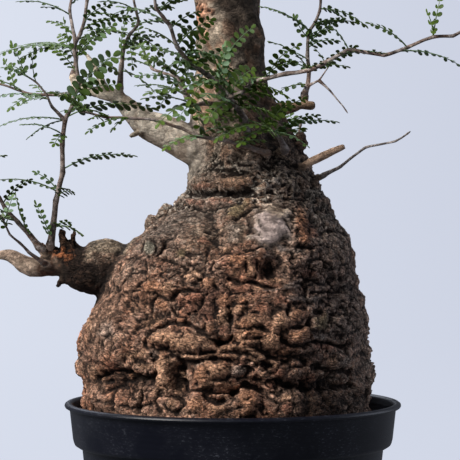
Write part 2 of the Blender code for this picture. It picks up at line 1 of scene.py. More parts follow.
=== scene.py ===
"""Looks of the potted operculicarya: corky wood, feather leaves, black nursery pot and gritty soil.

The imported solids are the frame. Places are written in millimetres, as in the part's own source, and turned
into metres by mm(). The plant is seen from -Y, and every piece's object sits at the origin.
"""

import json
import math
import random
from types import SimpleNamespace

import bpy
import numpy as np
from mathutils import Matrix, Vector, kdtree, noise

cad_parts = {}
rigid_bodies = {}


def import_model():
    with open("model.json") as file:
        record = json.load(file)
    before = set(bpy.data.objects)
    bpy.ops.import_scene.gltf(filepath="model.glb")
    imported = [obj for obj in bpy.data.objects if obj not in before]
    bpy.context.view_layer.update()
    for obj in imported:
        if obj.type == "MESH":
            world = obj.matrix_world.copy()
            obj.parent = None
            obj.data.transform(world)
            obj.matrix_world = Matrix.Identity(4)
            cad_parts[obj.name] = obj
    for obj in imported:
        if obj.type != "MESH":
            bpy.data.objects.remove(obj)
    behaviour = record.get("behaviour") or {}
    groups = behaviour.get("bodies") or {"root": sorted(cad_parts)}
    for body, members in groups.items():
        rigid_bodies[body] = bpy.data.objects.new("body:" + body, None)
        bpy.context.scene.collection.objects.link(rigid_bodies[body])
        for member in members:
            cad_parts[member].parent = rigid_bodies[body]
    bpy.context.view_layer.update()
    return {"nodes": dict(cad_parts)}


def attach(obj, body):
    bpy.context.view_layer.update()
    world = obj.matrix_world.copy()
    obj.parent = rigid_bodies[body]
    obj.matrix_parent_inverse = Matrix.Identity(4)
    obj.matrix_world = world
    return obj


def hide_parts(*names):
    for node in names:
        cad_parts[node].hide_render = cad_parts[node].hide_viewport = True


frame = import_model()

MM = 0.001
BODY = "root"
MERGE = 0.01 * MM               # points closer than this are one
# Seeds, so that each run gives the same plant
NOISE_SEED = 2
GRIT_SEED = 11
TWIG_SEED = 100
LEAF_SEED = 200


def mm(x, y, z):
    """A point or a reach given in millimetres, in metres."""
    return Vector((x, y, z)) * MM


# Measures of the pot, from its rim and its height, and of what it holds
RIM_RADIUS = 90.0 * MM
POT_HEIGHT = 150.0 * MM
POT_WALL = 1.8 * MM
BAND_HEIGHT = 23.5 * MM
FOOT_RADIUS = 67.0 * MM
PAD_RADIUS = 15.0 * MM
FLOOR_RISE = 4.0 * MM
DRAIN_RADIUS = 5.5 * MM
DRAIN_CIRCLE = 38.0 * MM
DRAINS = 6
DRILL_DEPTH = 16.0 * MM
TURN_STEPS = 128
SOIL_TOP = 126.0 * MM
SOIL_INNER = 67.5 * MM
SOIL_OUTER = 78.0 * MM
GRAINS = 1100
GRAIN_SIZE = 2.1                # millimetres

# Measures of the wood
WOOD_CUT = 119.0 * MM           # the buried wood below this is out of sight in the soil
BURIED_TOP = 134.0 * MM
BURIED_TOP_RADIUS = 69.0 * MM
BURIED_SLOPE = 13.0 / 38.0
TRUNK_TOP = 416.0 * MM
OUTLINE = [
    (134, -70.5, 68.5), (146, -79.0, 74.5), (160, -81.5, 74.0), (175, -83.0, 71.5),
    (190, -79.0, 72.5), (208, -71.5, 68.0), (223, -66.0, 66.5), (236, -55.0, 62.5),
    (247, -40.5, 56.5), (256, -28.0, 51.0), (267, -24.5, 46.0), (282, -24.0, 38.0),
    (301, -23.0, 28.0), (324, -21.0, 18.5), (345, -20.5, 16.5), (365, -21.0, 14.5),
    (386, -24.0, 13.5), (404, -27.0, 14.5), (416, -22.0, 10.0),
]
LIMBS = {
    "upper_left_limb": ([(2, 0, 272), (-15, -1, 284), (-27, 0, 290), (-36, 1, 294.5), (-45, 2, 298.5),
                         (-53, 3, 304), (-62, 5, 313), (-72, 8, 316), (-86, 12, 320)],
                        [14, 11.5, 9.8, 9.0, 8.0, 6.0, 3.8, 3.3, 2.6]),
    "limb_cut_stub": ([(-44, 1, 298), (-55, -6, 291.5)], [2.0, 1.3]),
    "limb_broken_stub": ([(-66, 6, 313), (-75.5, 8, 331), (-80, 8, 338)], [2.7, 2.2, 0.9]),
    "left_branch": ([(-44, 2, 214), (-62, 0, 219), (-70, -1, 221.5), (-80, -2, 221.3), (-88, -3, 224.5),
                     (-96, -3, 226)],
                    [17, 16, 15.8, 13.2, 8.9, 6.0]),
    "left_branch_cut": ([(-90, -3, 222.5), (-98, -4, 222), (-108, -5, 222.3), (-114, -6, 225.2),
                         (-119, -6, 227.8), (-124, -7, 228.3), (-128, -7, 227.4)],
                        [5.6, 5.2, 5.2, 4.4, 3.5, 2.5, 1.4]),
    "left_branch_nub": ([(-87, -3, 219), (-92, -6, 214), (-94, -7, 211.5)], [2.8, 1.7, 1.0]),
    "left_splinter_low": ([(-85, -4, 226), (-89.5, -5, 233), (-91.0, -5, 238), (-90.8, -5, 242)],
                          [3.8, 2.7, 2.1, 1.5]),
    "left_splinter_high": ([(-82, -3, 226), (-85.5, -4, 233), (-85.3, -4, 237), (-84, -4, 241.5)],
                           [3.8, 2.5, 1.9, 1.5]),
    "left_splinter_web": ([(-76, -3, 227), (-81.5, -4, 231), (-84.5, -4, 236)], [3.6, 2.0, 0.9]),
    "right_stub": ([(8, -2, 304), (26, -3, 306.5), (37, -3, 308.5), (44, -3, 308.5)], [6.0, 2.9, 2.0, 1.8]),
    "right_broken_stub": ([(27, -8, 270), (38, -14, 276), (50, -17, 282), (59, -19, 286)],
                          [3.4, 2.1, 1.9, 1.6]),
    "right_burl": ([(24, -2, 283), (32, -3, 286), (36.5, -4, 289.5), (36, -4, 294.5)], [9.0, 6.2, 4.4, 2.0]),
    "right_burl_knob": ([(33, -4, 279), (38, -5, 280.5)], [6.0, 3.4]),
    "right_low_burl": ([(60, -14, 158), (69, -18, 158), (73.5, -19, 157.5)], [9.0, 7.0, 4.0]),
    "shoulder_knob_high": ([(-31, -4, 246), (-38, -4, 251.5)], [5.0, 3.6]),
    "shoulder_knob_middle": ([(-38, -4, 240.5), (-46, -4, 245.5)], [5.0, 3.6]),
    "shoulder_knob_low": ([(-48, -5, 230), (-54.5, -5, 235)], [5.0, 3.6]),
    "left_knob_high": ([(-67, -8, 194.5), (-72.5, -9, 195)], [6.5, 4.6]),
    "left_knob_middle": ([(-70, -8, 184.5), (-76.5, -9, 184.5)], [7.5, 5.0]),
    "left_knob_low": ([(-69, -6, 176.5), (-73.5, -6, 176.5)], [9.0, 7.0]),
    "front_scar": ([(-36, -32, 230.5), (-43.2, -39.5, 232.8)], [7.2, 5.0]),
    "fork_left": ([(-9, 2, 392), (-16, 3, 410), (-25, 6, 428), (-33, 8, 450)], [16, 14.5, 12, 9.5]),
    "fork_right": ([(-1, 1, 390), (3, 0, 412), (8, -4, 436), (12, -8, 468)], [14.5, 13.5, 11, 8.5]),
    "back_limb": ([(0, 8, 318), (-1, 24, 330), (-2, 38, 346), (-4, 46, 366)], [10, 7.5, 5.5, 4.2]),
    "back_burl": ([(-20, 40, 214), (-28, 66, 222), (-31, 76, 224)], [16, 11, 5.5]),
}


class Shoot:
    """A leafy shoot: a point inside the wood, its foot's radius, its twigs and its fronds.

    A frond is (twig, place along the twig's points, reach to its tip, roll in degrees).
    """

    def __init__(self, root, thick, twigs, fronds):
        self.root = mm(*root)
        self.thick = thick * MM
        self.twigs = [[mm(*point) for point in twig] for twig in twigs]
        self.fronds = fronds


SHOOTS = {
    "shoot_left_upright": Shoot(
        (-97, -3, 224), 2.4,
        [[(-97.5, -5, 233.5), (-95.5, -8, 244.5), (-94, -9, 257.5), (-90.5, -10, 272.5), (-90.5, -11, 287),
          (-89, -12, 300), (-85, -13, 308), (-81.5, -14, 320), (-84, -15, 338), (-80.5, -15, 345.5),
          (-78, -16, 353.5), (-77, -16, 363), (-74.5, -17, 376), (-77.5, -18, 388), (-74, -18, 399.5)],
         [(-89, -12, 300), (-95.5, -14, 307), (-98.5, -15, 313.5), (-104, -16, 320), (-110, -17, 323.5)]],
        [(0, 2.3, (-32, -7, 6), 10), (0, 2.1, (9, -13, 3), 30), (0, 0.9, (15, -10, -3), 20),
         (0, 3.1, (37, -8, 7), 15), (0, 4.4, (-19, -10, 5), 10), (0, 5.0, (-35, -6, -4), 8),
         (0, 8.0, (-40, -8, -5), 20), (0, 7.7, (20, -10, 16), 60), (0, 6.3, (23, -12, 6), 55),
         (0, 9.2, (27, -6, 6), 25), (0, 12.0, (-30, -6, 8), 10),
         (0, 13.0, (27, -4, 10), 15), (0, 14.0, (-14, -8, 24), 30),
         (1, 1.6, (-26, -7, 1), 12), (1, 3.9, (-6, -4, 15), 50)]),
    "shoot_left_low": Shoot(
        (-96, -3, 226), 2.2,
        [[(-103.5, -6, 233), (-108, -8, 239), (-114, -12, 246), (-120.5, -15, 253.5), (-123, -17, 259),
          (-128.5, -20, 265.5), (-133.5, -22, 274.5), (-141.5, -24, 279.5)]],
        [(0, 1.0, (-6, -10, 20), 70), (0, 4.6, (-24, -5, -4), 10), (0, 6.9, (-8, -6, 20), 30)]),
    "shoot_left_thin": Shoot(
        (-95, -4, 222), 1.5,
        [[(-100.5, -12.5, 224.5), (-107.5, -17, 230), (-112, -20, 235), (-117, -23, 239.5),
          (-120, -26, 247)]],
        [(0, 3.9, (-14, -10, 10), 20)]),
    "shoot_limb_middle": Shoot(
        (-62, 5, 312), 2.0,
        [[(-61, 4, 318.5), (-60, 3, 330), (-59, 2, 338), (-57.5, 2, 342.5), (-55.5, 1, 347), (-50.5, 0, 353),
          (-52, 0, 359.5), (-53.5, 0, 368)]],
        [(0, 3.5, (3, -8, -15), 40), (0, 4.9, (26, -16, -4), 15), (0, 6.0, (-17, -8, 4), 10),
         (0, 6.9, (9, -6, 24), 40)]),
    "shoot_front_dark": Shoot(
        (-3, -12, 305), 2.0,
        [[(-6, -27, 307), (-14.5, -31, 307.5), (-20.5, -33, 306.5), (-24, -34, 314), (-27, -34, 320),
          (-32, -32, 324)]],
        [(0, 2.0, (-24, -8, 3), 15), (0, 3.5, (-22, -8, 4), 35), (0, 4.9, (-20, 0, 10), 20)]),
    "shoot_limb_flat": Shoot(
        (-79, 10, 318), 1.6,
        [[(-83, 17, 318.5), (-94, 21, 316), (-111.5, 24, 316.5), (-118, 26, 319), (-128.5, 29, 322.5),
          (-144.5, 31, 324)]],
        [(0, 1.6, (-16, -10, -8), 20), (0, 3.8, (-14, 12, 10), 10), (0, 4.9, (-12, -8, 12), 30)]),
    "shoot_limb_back": Shoot(
        (-84, 11.5, 319), 2.0,
        [[(-87, 15, 326), (-86, 24, 336.5), (-88, 32, 349.5), (-91, 38, 364.5), (-90, 40, 372),
          (-91.5, 44, 392)]],
        [(0, 1.3, (-26, 8, 5), 10), (0, 2.8, (-28, 2, 8), 10),
         (0, 4.9, (-10, 8, 24), 30)]),
    "shoot_front_long": Shoot(
        (17, -18, 279), 1.9,
        [[(18, -32.5, 281.5), (8, -36.5, 284.5), (-3, -38, 287.5), (-17.5, -40, 290), (-27.5, -40, 294.5),
          (-41, -41, 298.5), (-53, -41, 299.5), (-66, -41, 300), (-76.5, -40, 302.5)]],
        [(0, 3.0, (-16, -10, -6), 20), (0, 6.0, (-20, -7, -7), 20),
         (0, 6.8, (-22, -5, 3), 10), (0, 7.9, (-15, -8, 9), 35)]),
    "shoot_front_left": Shoot(
        (-3, -12, 312), 2.0,
        [[(-6.5, -25, 317.5), (-13.5, -33, 322.5), (-23.5, -42, 329), (-28.5, -47, 335.5), (-32, -51, 345.5),
          (-35.5, -54, 350), (-39, -56, 354), (-39.5, -58, 361), (-36, -60, 374), (-41, -61, 385)]],
        [(0, 2.0, (-26, -8, 6), 25), (0, 3.0, (17, -10, 12), 50), (0, 4.2, (-23, -6, 8), 20),
         (0, 5.6, (21, -8, 10), 30), (0, 7.3, (-22, -6, 6), 10), (0, 8.9, (11, -6, 22), 30)]),
    "shoot_right_long": Shoot(
        (8, -20, 292), 2.3,
        [[(7.5, -35, 291), (6, -39, 299), (3.5, -41, 303), (-2, -46, 309.5), (3.5, -50, 311.5),
          (8, -52, 314.5), (13.5, -55, 317.5), (27, -60, 320.5), (38, -64, 322), (46.5, -67, 325.5),
          (57.5, -70, 331.5), (75, -74, 328.5), (86, -77, 332), (98.5, -80, 337), (108, -82, 337),
          (121, -84, 344), (132, -86, 343)],
         [(-2, -46, 309.5), (-3.5, -47, 314), (-7, -48, 317)]],
        [(0, 1.0, (-23, -12, 1), 20), (0, 2.2, (19, -14, -5), 25), (0, 3.0, (-22, -12, 9), 40),
         (1, 2.0, (16, -14, 26), 65), (0, 6.3, (14, -12, 15), 40),
         (0, 9.3, (24, -8, 2), 15), (0, 10.0, (-8, -6, 10), 40), (0, 11.4, (32, -5, -7), 10),
         (0, 12.0, (-18, -4, 11), 30), (0, 13.0, (3, -3, 18), 60), (0, 15.0, (18, -6, -10), 20),
         (0, 15.9, (20, 3, 11), 15)]),
    "shoot_right_upright": Shoot(
        (37.5, 0, 307), 1.9,
        [[(38.5, 0, 315), (40, 0, 319), (41, 2, 328), (40, 3, 336), (41, 4, 348.5), (44, 5, 353),
          (47, 6, 360), (47.5, 7, 367), (46, 8, 378), (50.5, 9, 390)],
         [(40, 0, 319), (46, -3, 322), (51, -6, 329)],
         [(46, -3, 322), (52, -6, 316), (59.5, -11, 306)]],
        [(0, 2.0, (-20, -16, 13), 20), (0, 4.1, (-25, -16, 11), 15), (0, 4.8, (20, -9, 1), 20),
         (0, 6.2, (23, -6, -9), 25), (0, 8.9, (18, 8, 14), 30),
         (1, 1.9, (13, -9, 10), 30)]),
    "shoot_right_bare": Shoot(
        (36, -2, 264), 1.45,
        [[(48.5, -7, 271), (57, -10, 275.5), (70.5, -14, 285.5), (85.5, -18, 288.5), (91, -20, 292)]],
        []),
    "shoot_front_grey": Shoot(
        (24, -14, 281), 2.3,
        [[(27, -32, 283.5), (24.5, -37, 289), (20, -41, 292.5), (15, -44, 295)]],
        [(0, 1.9, (31, -6, 5), 15), (0, 2.9, (5, -17, -4), 30)]),
    "shoot_back_left": Shoot(
        (-10, 10, 306), 2.2,
        [[(-17, 25, 311), (-26, 38, 316), (-32, 50, 328), (-46, 62, 334), (-52, 76, 347)]],
        [(0, 1.1, (-26, 6, 6), 10), (0, 2.1, (16, 20, 8), 15), (0, 3.1, (-28, 4, 4), 10),
         (0, 3.9, (-6, 16, 20), 30)]),
    "shoot_back_right": Shoot(
        (-3.5, 43, 358), 2.4,
        [[(-4.5, 48, 371), (3, 56, 382), (6, 64, 397), (22, 72, 405), (27, 78, 420)]],
        [(0, 1.0, (24, 10, 6), 10), (0, 2.0, (-20, 18, 6), 15), (0, 3.0, (26, 6, 4), 10),
         (0, 3.9, (-8, 10, 22), 30)]),
    "shoot_back_low": Shoot(
        (22, 20, 260), 2.2,
        [[(30, 41, 269), (31, 54, 276), (28, 66, 287), (37, 80, 292), (40, 92, 303)]],
        [(0, 1.1, (-6, 18, 8), 10), (0, 2.1, (-20, 18, 6), 15), (0, 3.1, (2, 16, 8), 10),
         (0, 3.9, (-10, 14, 10), 30)]),
    "shoot_top_left": Shoot(
        (-30, 7, 438), 2.2,
        [[(-43, 4, 444), (-55, 2, 452), (-58, -2, 468), (-72, -6, 476), (-76, -8, 490)]],
        [(0, 1.1, (-24, -14, -2), 10), (0, 2.1, (12, -22, 6), 20), (0, 3.1, (-24, 12, 2), 10)]),
    "shoot_top_front": Shoot(
        (-22, 4, 428), 2.0,
        [[(-24, -10, 434), (-26, -22, 442), (-20, -30, 456), (-28, -40, 468)]],
        [(0, 1.1, (-26, -10, 2), 10), (0, 2.0, (24, -14, 4), 15), (0, 2.9, (-10, -18, 14), 30)]),
    "shoot_top_right": Shoot(
        (9, -6, 450), 2.2,
        [[(22, -8, 455), (34, -10, 462), (39, -14, 480), (53, -18, 488)]],
        [(0, 0.9, (26, -12, -2), 10), (0, 2.0, (-18, -18, 8), 20), (0, 2.9, (20, 8, 12), 15)]),
    "shoot_top_back": Shoot(
        (7, -4, 440), 2.2,
        [[(9, 9, 446), (6, 22, 458), (12, 34, 474), (4, 46, 486)]],
        [(0, 1.0, (26, 10, 4), 10), (0, 2.0, (-24, 14, 2), 15), (0, 2.9, (10, 20, 14), 25)]),
}


# More fronds than the solids carry: (twig, place along it, reach to the tip, size, roll in degrees)
FULLER = {
    "shoot_left_upright": [
        (0, 9.7, (13, -8, 8), 0.9, 30), (0, 7.9, (-5, -3, 15), 0.9, 70), (0, 10.2, (21, -4, -3), 0.8, 15),
        (0, 8.6, (25, -6, 3), 0.8, 15), (0, 7.6, (-9, 12, 15), 0.9, 30), (0, 7.2, (-19, 15, 18), 0.9, 20),
        (0, 5.3, (25, -14, 30), 1.5, 60), (0, 5.2, (45, -12, 4), 1.35, 25), (0, 5.0, (-19, 6, -8), 0.9, 10),
        (1, 3.0, (-1, 0, 17), 1, 60), (1, 3.5, (-12, -5, 5), 0.9, 15), (0, 5.8, (16, -10, -6), 1, 20),
        (0, 0.3, (-7, -6, 18), 0.9, 50), (0, 6.2, (-14, 10, 5), 0.9, 20), (0, 7.0, (10, 6, 7), 1.2, 40),
    ],
    "shoot_left_low": [
        (0, 2.2, (-20, -4, 8), 0.9, 20), (0, 3.4, (14, -4, 12), 0.8, 30), (0, 6.0, (13, -3, 6), 0.8, 20),
        (0, 5.4, (-14, 4, 7), 0.9, 15),
    ],
    "shoot_limb_flat": [
        (0, 2.6, (-18, -6, 6), 0.9, 15), (0, 3.2, (-6, 4, 15), 0.9, 40),
    ],
    "shoot_limb_middle": [
        (0, 1.3, (3, -6, 24), 0.9, 60), (0, 2.4, (18, -4, 6), 0.8, 20), (0, 4.0, (16, 6, -9), 0.9, 30),
        (0, 0.8, (16, -10, -10), 1.1, 20), (0, 0.6, (-12, -8, 6), 1.2, 40), (0, 3.8, (-20, 6, 4), 0.9, 20),
        (0, 5.7, (18, -6, 3), 0.8, 20),
    ],
    "shoot_front_dark": [
        (0, 2.1, (4, -12, -13), 1.2, 30), (0, 2.9, (15, -14, -11), 1.2, 20),
        (0, 4.0, (14, -12, 11), 1.1, 30), (0, 4.6, (8, -8, 14), 1, 50), (0, 2.9, (-19, -8, -1), 1.2, 15),
        (0, 2.2, (-16, -10, -11), 1.2, 20), (0, 4.3, (-14, -4, 8), 1.1, 25),
        (0, 1.4, (-10, -14, -7), 1.2, 30),
    ],
    "shoot_front_left": [
        (0, 0.8, (17, -12, 2), 0.9, 25), (0, 1.2, (20, -12, -8), 0.9, 20), (0, 2.4, (18, -10, -2), 0.9, 30),
        (0, 1.0, (-16, -8, -8), 1, 20), (0, 1.4, (15, -12, 8), 1.1, 30), (0, 1.9, (8, -10, 12), 1, 55),
        (0, 2.0, (-14, 4, -6), 1, 15), (0, 2.7, (-15, -6, 10), 0.9, 20), (0, 3.2, (12, 6, 7), 1, 25),
        (0, 3.9, (13, -6, 7), 1, 20), (0, 0.4, (10, -14, -15), 1.2, 25), (0, 0.6, (-11, -16, -12), 1.2, 30),
        (0, 1.6, (-8, -10, 1), 1.1, 30),
    ],
    "shoot_right_long": [
        (0, 2.0, (11, -16, 10), 1.15, 35), (0, 2.4, (-15, -18, 4), 1.2, 25),
        (0, 3.0, (-7, -14, 18), 1.1, 50), (0, 3.0, (11, -20, 12), 1.3, 50),
        (0, 4.0, (18, -12, -4), 1.1, 20), (0, 5.0, (18, -12, -5), 1.1, 20),
        (0, 7.6, (22, -6, 2), 0.9, 15), (0, 0.9, (13, -10, -7), 1.1, 20), (0, 0.6, (-14, -8, -7), 1.1, 20),
        (1, 0.8, (-16, -4, 15), 1.1, 30), (1, 2.0, (-15, -8, -2), 1.1, 20), (1, 2.0, (3, -6, 17), 1.1, 50),
        (0, 6.1, (14, -8, 8), 1, 30), (0, 2.7, (-12, -12, -9), 1.2, 30),
    ],
    "shoot_right_upright": [
        (0, 3.4, (17, -6, 13), 1, 30), (0, 3.3, (14, -10, 3), 1, 20), (0, 3.7, (-7, 0, 11), 0.9, 50),
        (0, 2.7, (-12, -6, 4), 0.9, 20), (0, 1.8, (11, -8, 5), 1, 20),
        (0, 1.1, (-15, -4, -4), 1.1, 15), (0, 3.8, (10, -8, 3), 1, 35),
    ],
    "shoot_front_grey": [
        (0, 1.2, (11, -6, 4), 1.1, 20), (0, 2.2, (-15, -12, -7), 1.1, 15), (0, 1.6, (20, -10, 9), 0.9, 25),
        (0, 2.6, (18, -12, 14), 0.9, 35), (0, 2.4, (9, -10, 12), 1.1, 45),
        (0, 2.7, (-8, -10, 11), 1.1, 40), (0, 3.0, (-19, -10, -5), 1, 20),
    ],
    "shoot_front_long": [
        (0, 2.0, (-6, -8, 10), 1, 40), (0, 1.4, (11, -8, 2), 0.9, 20), (0, 3.0, (14, -8, 4), 1, 20),
    ],
    "shoot_back_low": [
        (0, 1.6, (-14, 16, -6), 0.9, 20),
    ],
    "shoot_back_left": [
        (0, 2.0, (-9, 6, -15), 1.1, 20), (0, 0.8, (14, 8, 5), 1.1, 20), (0, 3.0, (7, 8, 11), 1, 40),
    ],
    "shoot_limb_back": [
        (0, 1.4, (14, 6, 7), 0.9, 20), (0, 2.0, (-14, 8, 9), 0.9, 20), (0, 3.4, (13, 8, 8), 0.9, 20),
        (0, 4.5, (-15, 8, 4), 0.9, 20),
    ],
}


# Colours

def linear(code):
    """An sRGB hex colour as linear red, green, blue and alpha."""
    parts = [int(code[place:place + 2], 16) / 255.0 for place in (1, 3, 5)]
    parts = [part / 12.92 if part <= 0.04045 else ((part + 0.055) / 1.055) ** 2.4 for part in parts]
    return (*parts, 1.0)


def add(tree, kind, settings=None, inputs=None, stops=None):
    """Add a shader node with its settings and stops; an input is a value or a socket to link from."""
    made = tree.nodes.new("ShaderNode" + kind)
    for key, value in (settings or {}).items():
        setattr(made, key, value)
    for key, value in (inputs or {}).items():
        if isinstance(value, bpy.types.NodeSocket):
            tree.links.new(value, made.inputs[key])
        else:
            made.inputs[key].default_value = value
    if stops:
        marks = made.color_ramp.elements
        while len(marks) < len(stops):
            marks.new(0.5)
        for mark, (place, colour) in zip(marks, stops):
            mark.position = place
            mark.color = colour if isinstance(colour, tuple) else (colour, colour, colour, 1.0)
    return made


def new_material(name, roughness, ior=1.5):
    """A material; returns it with its tree, its Principled shader and the Object coordinates."""
    made = bpy.data.materials.new(name)
    made.use_nodes = True
    tree = made.node_tree
    shader = tree.nodes["Principled BSDF"]
    shader.inputs["Roughness"].default_value = roughness
    shader.inputs["IOR"].default_value = ior
    return made, tree, shader, add(tree, "TexCoord").outputs["Object"]


def per_mm(size):
    """A texture scale for a pattern whose features are this many millimetres across."""
    return 1.0 / (size * MM)


# Settings that many nodes share
BLEND = {"data_type": "RGBA"}
PRODUCT = {"operation": "MULTIPLY"}
PRODUCT_PLUS = {"operation": "MULTIPLY_ADD"}
PRODUCT_PLUS_CLAMPED = {"operation": "MULTIPLY_ADD", "use_clamp": True}
SCALED = {"operation": "SCALE"}


def bark_material(name, palette, dry, relief, painted):
    """Bark: cork that cracked as it grew, matt and porous, with painted shade in its clefts and hollows and
    painted light on its lumps.

    The mesh carries how hollow each point is (cavity), its cracks (cleft) and how pale or grey its zone is
    (pale, grey). Painted bark also carries colours of its own (tint).
    """
    made, tree, shader, place = new_material(name, dry)
    cavity, cleft, pale, grey = (add(tree, "Attribute", {"attribute_name": mark}).outputs["Fac"]
                                 for mark in ("cavity", "cleft", "pale", "grey"))

    # Brown cork with rusty patches, in places greyed or worn down to smooth pale skin
    grain = add(tree, "TexNoise", {}, {"Vector": place, "Scale": per_mm(5.0), "Detail": 6.0,
                                       "Roughness": 0.65}).outputs["Fac"]
    patch = add(tree, "TexNoise", {}, {"Vector": place, "Scale": per_mm(22.0), "Detail": 3.0,
                                       "Distortion": 0.6}).outputs["Fac"]
    speck = add(tree, "TexNoise", {}, {"Vector": place, "Scale": per_mm(1.4), "Detail": 4.0,
                                       "Roughness": 0.7}).outputs["Fac"]
    brown, rust, bone = (add(tree, "ValToRGB", {}, {"Fac": grain}, palette[skin]).outputs["Color"]
                         for skin in ("brown", "rust", "bone"))
    ash = add(tree, "ValToRGB", {}, {"Fac": speck}, palette["ash"]).outputs["Color"]
    rusty = add(tree, "ValToRGB", {}, {"Fac": patch}, [(0.46, 0.0), (0.62, 1.0)]).outputs["Color"]
    body = add(tree, "Mix", BLEND, {0: rusty, 6: brown, 7: rust}).outputs[2]
    shift = add(tree, "Math", PRODUCT_PLUS, {0: speck, 1: 0.9, 2: -0.45}).outputs[0]
    greyed = add(tree, "Math", {"operation": "ADD", "use_clamp": True}, {0: grey, 1: shift}).outputs[0]
    greyed = add(tree, "Math", {"operation": "MULTIPLY", "use_clamp": True}, {0: greyed, 1: 1.1}).outputs[0]
    body = add(tree, "Mix", BLEND, {0: greyed, 6: body, 7: ash}).outputs[2]
    body = add(tree, "Mix", BLEND, {0: pale, 6: body, 7: bone}).outputs[2]
    if painted:
        tint = add(tree, "Attribute", {"attribute_name": "tint"})
        varied = add(tree, "Math", PRODUCT_PLUS, {0: grain, 1: 1.5, 2: 0.2}).outputs[0]
        tinted = add(tree, "VectorMath", SCALED, {"Vector": tint.outputs["Color"], "Scale": varied})
        body = add(tree, "Mix", BLEND, {0: tint.outputs["Alpha"], 6: body, 7: tinted.outputs[0]}).outputs[2]

    # Painted light on the lumps and painted shade in the hollows and clefts, from how hollow the mesh is
    light = add(tree, "ValToRGB", {}, {"Fac": cavity}, [(0.30, 1.0), (0.47, 0.0)]).outputs["Color"]
    light = add(tree, "Math", PRODUCT_PLUS, {0: light, 1: 0.9, 2: 1.0}).outputs[0]
    body = add(tree, "VectorMath", SCALED, {"Vector": body, "Scale": light}).outputs[0]
    dark = add(tree, "ValToRGB", {}, {"Fac": cavity}, [(0.52, 0.0), (0.75, 1.0)]).outputs["Color"]
    dark = add(tree, "Math", {"operation": "MAXIMUM"}, {0: dark, 1: cleft}).outputs[0]
    dark = add(tree, "Math", PRODUCT, {0: dark, 1: 0.9}).outputs[0]
    body = add(tree, "Mix", BLEND, {0: dark, 6: body, 7: palette["cleft"]}).outputs[2]

    # Flat scales about 3 mm wide with dark seams between them, flecked and each of its own tone
    drift = add(tree, "TexNoise", {}, {"Vector": place, "Scale": per_mm(7.0), "Detail": 3.0}).outputs["Color"]
    drift = add(tree, "VectorMath", PRODUCT_PLUS, {0: drift, 1: (6.0 * MM,) * 3, 2: place}).outputs[0]
    flat = add(tree, "Mapping", {}, {"Vector": drift, "Scale": (1.0, 1.0, 1.7)}).outputs["Vector"]
    cells = {"Vector": flat, "Scale": per_mm(2.8)}
    scales = add(tree, "TexVoronoi", {"feature": "F1"}, cells).outputs["Color"]
    scales = add(tree, "SeparateColor", {}, {"Color": scales}).outputs[0]
    seams = add(tree, "TexVoronoi", {"feature": "DISTANCE_TO_EDGE"}, cells).outputs["Distance"]
    seams = add(tree, "ValToRGB", {}, {"Fac": seams}, [(0.0, 1.0), (0.10, 0.0)]).outputs["Color"]
    sparks = add(tree, "TexNoise", {}, {"Vector": flat, "Scale": per_mm(1.5), "Detail": 3.0,
                                        "Roughness": 0.7}).outputs["Fac"]
    rugged = add(tree, "Math", PRODUCT_PLUS_CLAMPED, {0: pale, 1: -0.75, 2: 1.0}).outputs[0]
    flecked = add(tree, "ValToRGB", {}, {"Fac": sparks}, palette["flecks"]).outputs["Color"]
    body = add(tree, "Mix", {"data_type": "RGBA", "blend_type": "MULTIPLY"},
               {0: rugged, 6: body, 7: flecked}).outputs[2]
    shade = add(tree, "Math", PRODUCT_PLUS, {0: scales, 1: 1.45, 2: 1.2}).outputs[0]
    body = add(tree, "VectorMath", SCALED, {"Vector": body, "Scale": shade}).outputs[0]
    crack = add(tree, "ValToRGB", {}, {"Fac": speck}, [(0.42, 0.0), (0.50, 1.0)]).outputs["Color"]
    for part in (seams, rugged, palette["seams"]):
        crack = add(tree, "Math", PRODUCT, {0: crack, 1: part}).outputs[0]
    body = add(tree, "Mix", BLEND, {0: crack, 6: body, 7: palette["cleft"]}).outputs[2]
    tree.links.new(body, shader.inputs["Base Color"])

    # Relief too fine for the mesh: torn flakes, pits, grit and the seams
    flakes = add(tree, "TexNoise", {"noise_type": "RIDGED_MULTIFRACTAL", "normalize": True},
                 {"Vector": flat, "Scale": per_mm(4.5), "Detail": 4.0, "Roughness": 0.6,
                  "Distortion": 0.5}).outputs["Fac"]
    pits = add(tree, "TexVoronoi", {"feature": "F1"}, {"Vector": flat, "Scale": per_mm(2.2)})
    rough = flakes
    for part, share in ((pits.outputs["Distance"], -0.6), (sparks, 0.9), (scales, 0.55), (crack, -0.4)):
        rough = add(tree, "Math", PRODUCT_PLUS, {0: part, 1: share, 2: rough}).outputs[0]
    rough = add(tree, "Math", PRODUCT, {0: rough, 1: rugged}).outputs[0]
    bump = add(tree, "Bump", {}, {"Height": rough, "Strength": 1.0, "Distance": relief * MM})
    tree.links.new(bump.outputs["Normal"], shader.inputs["Normal"])
    shader.inputs["Specular IOR Level"].default_value = 0.25
    return made


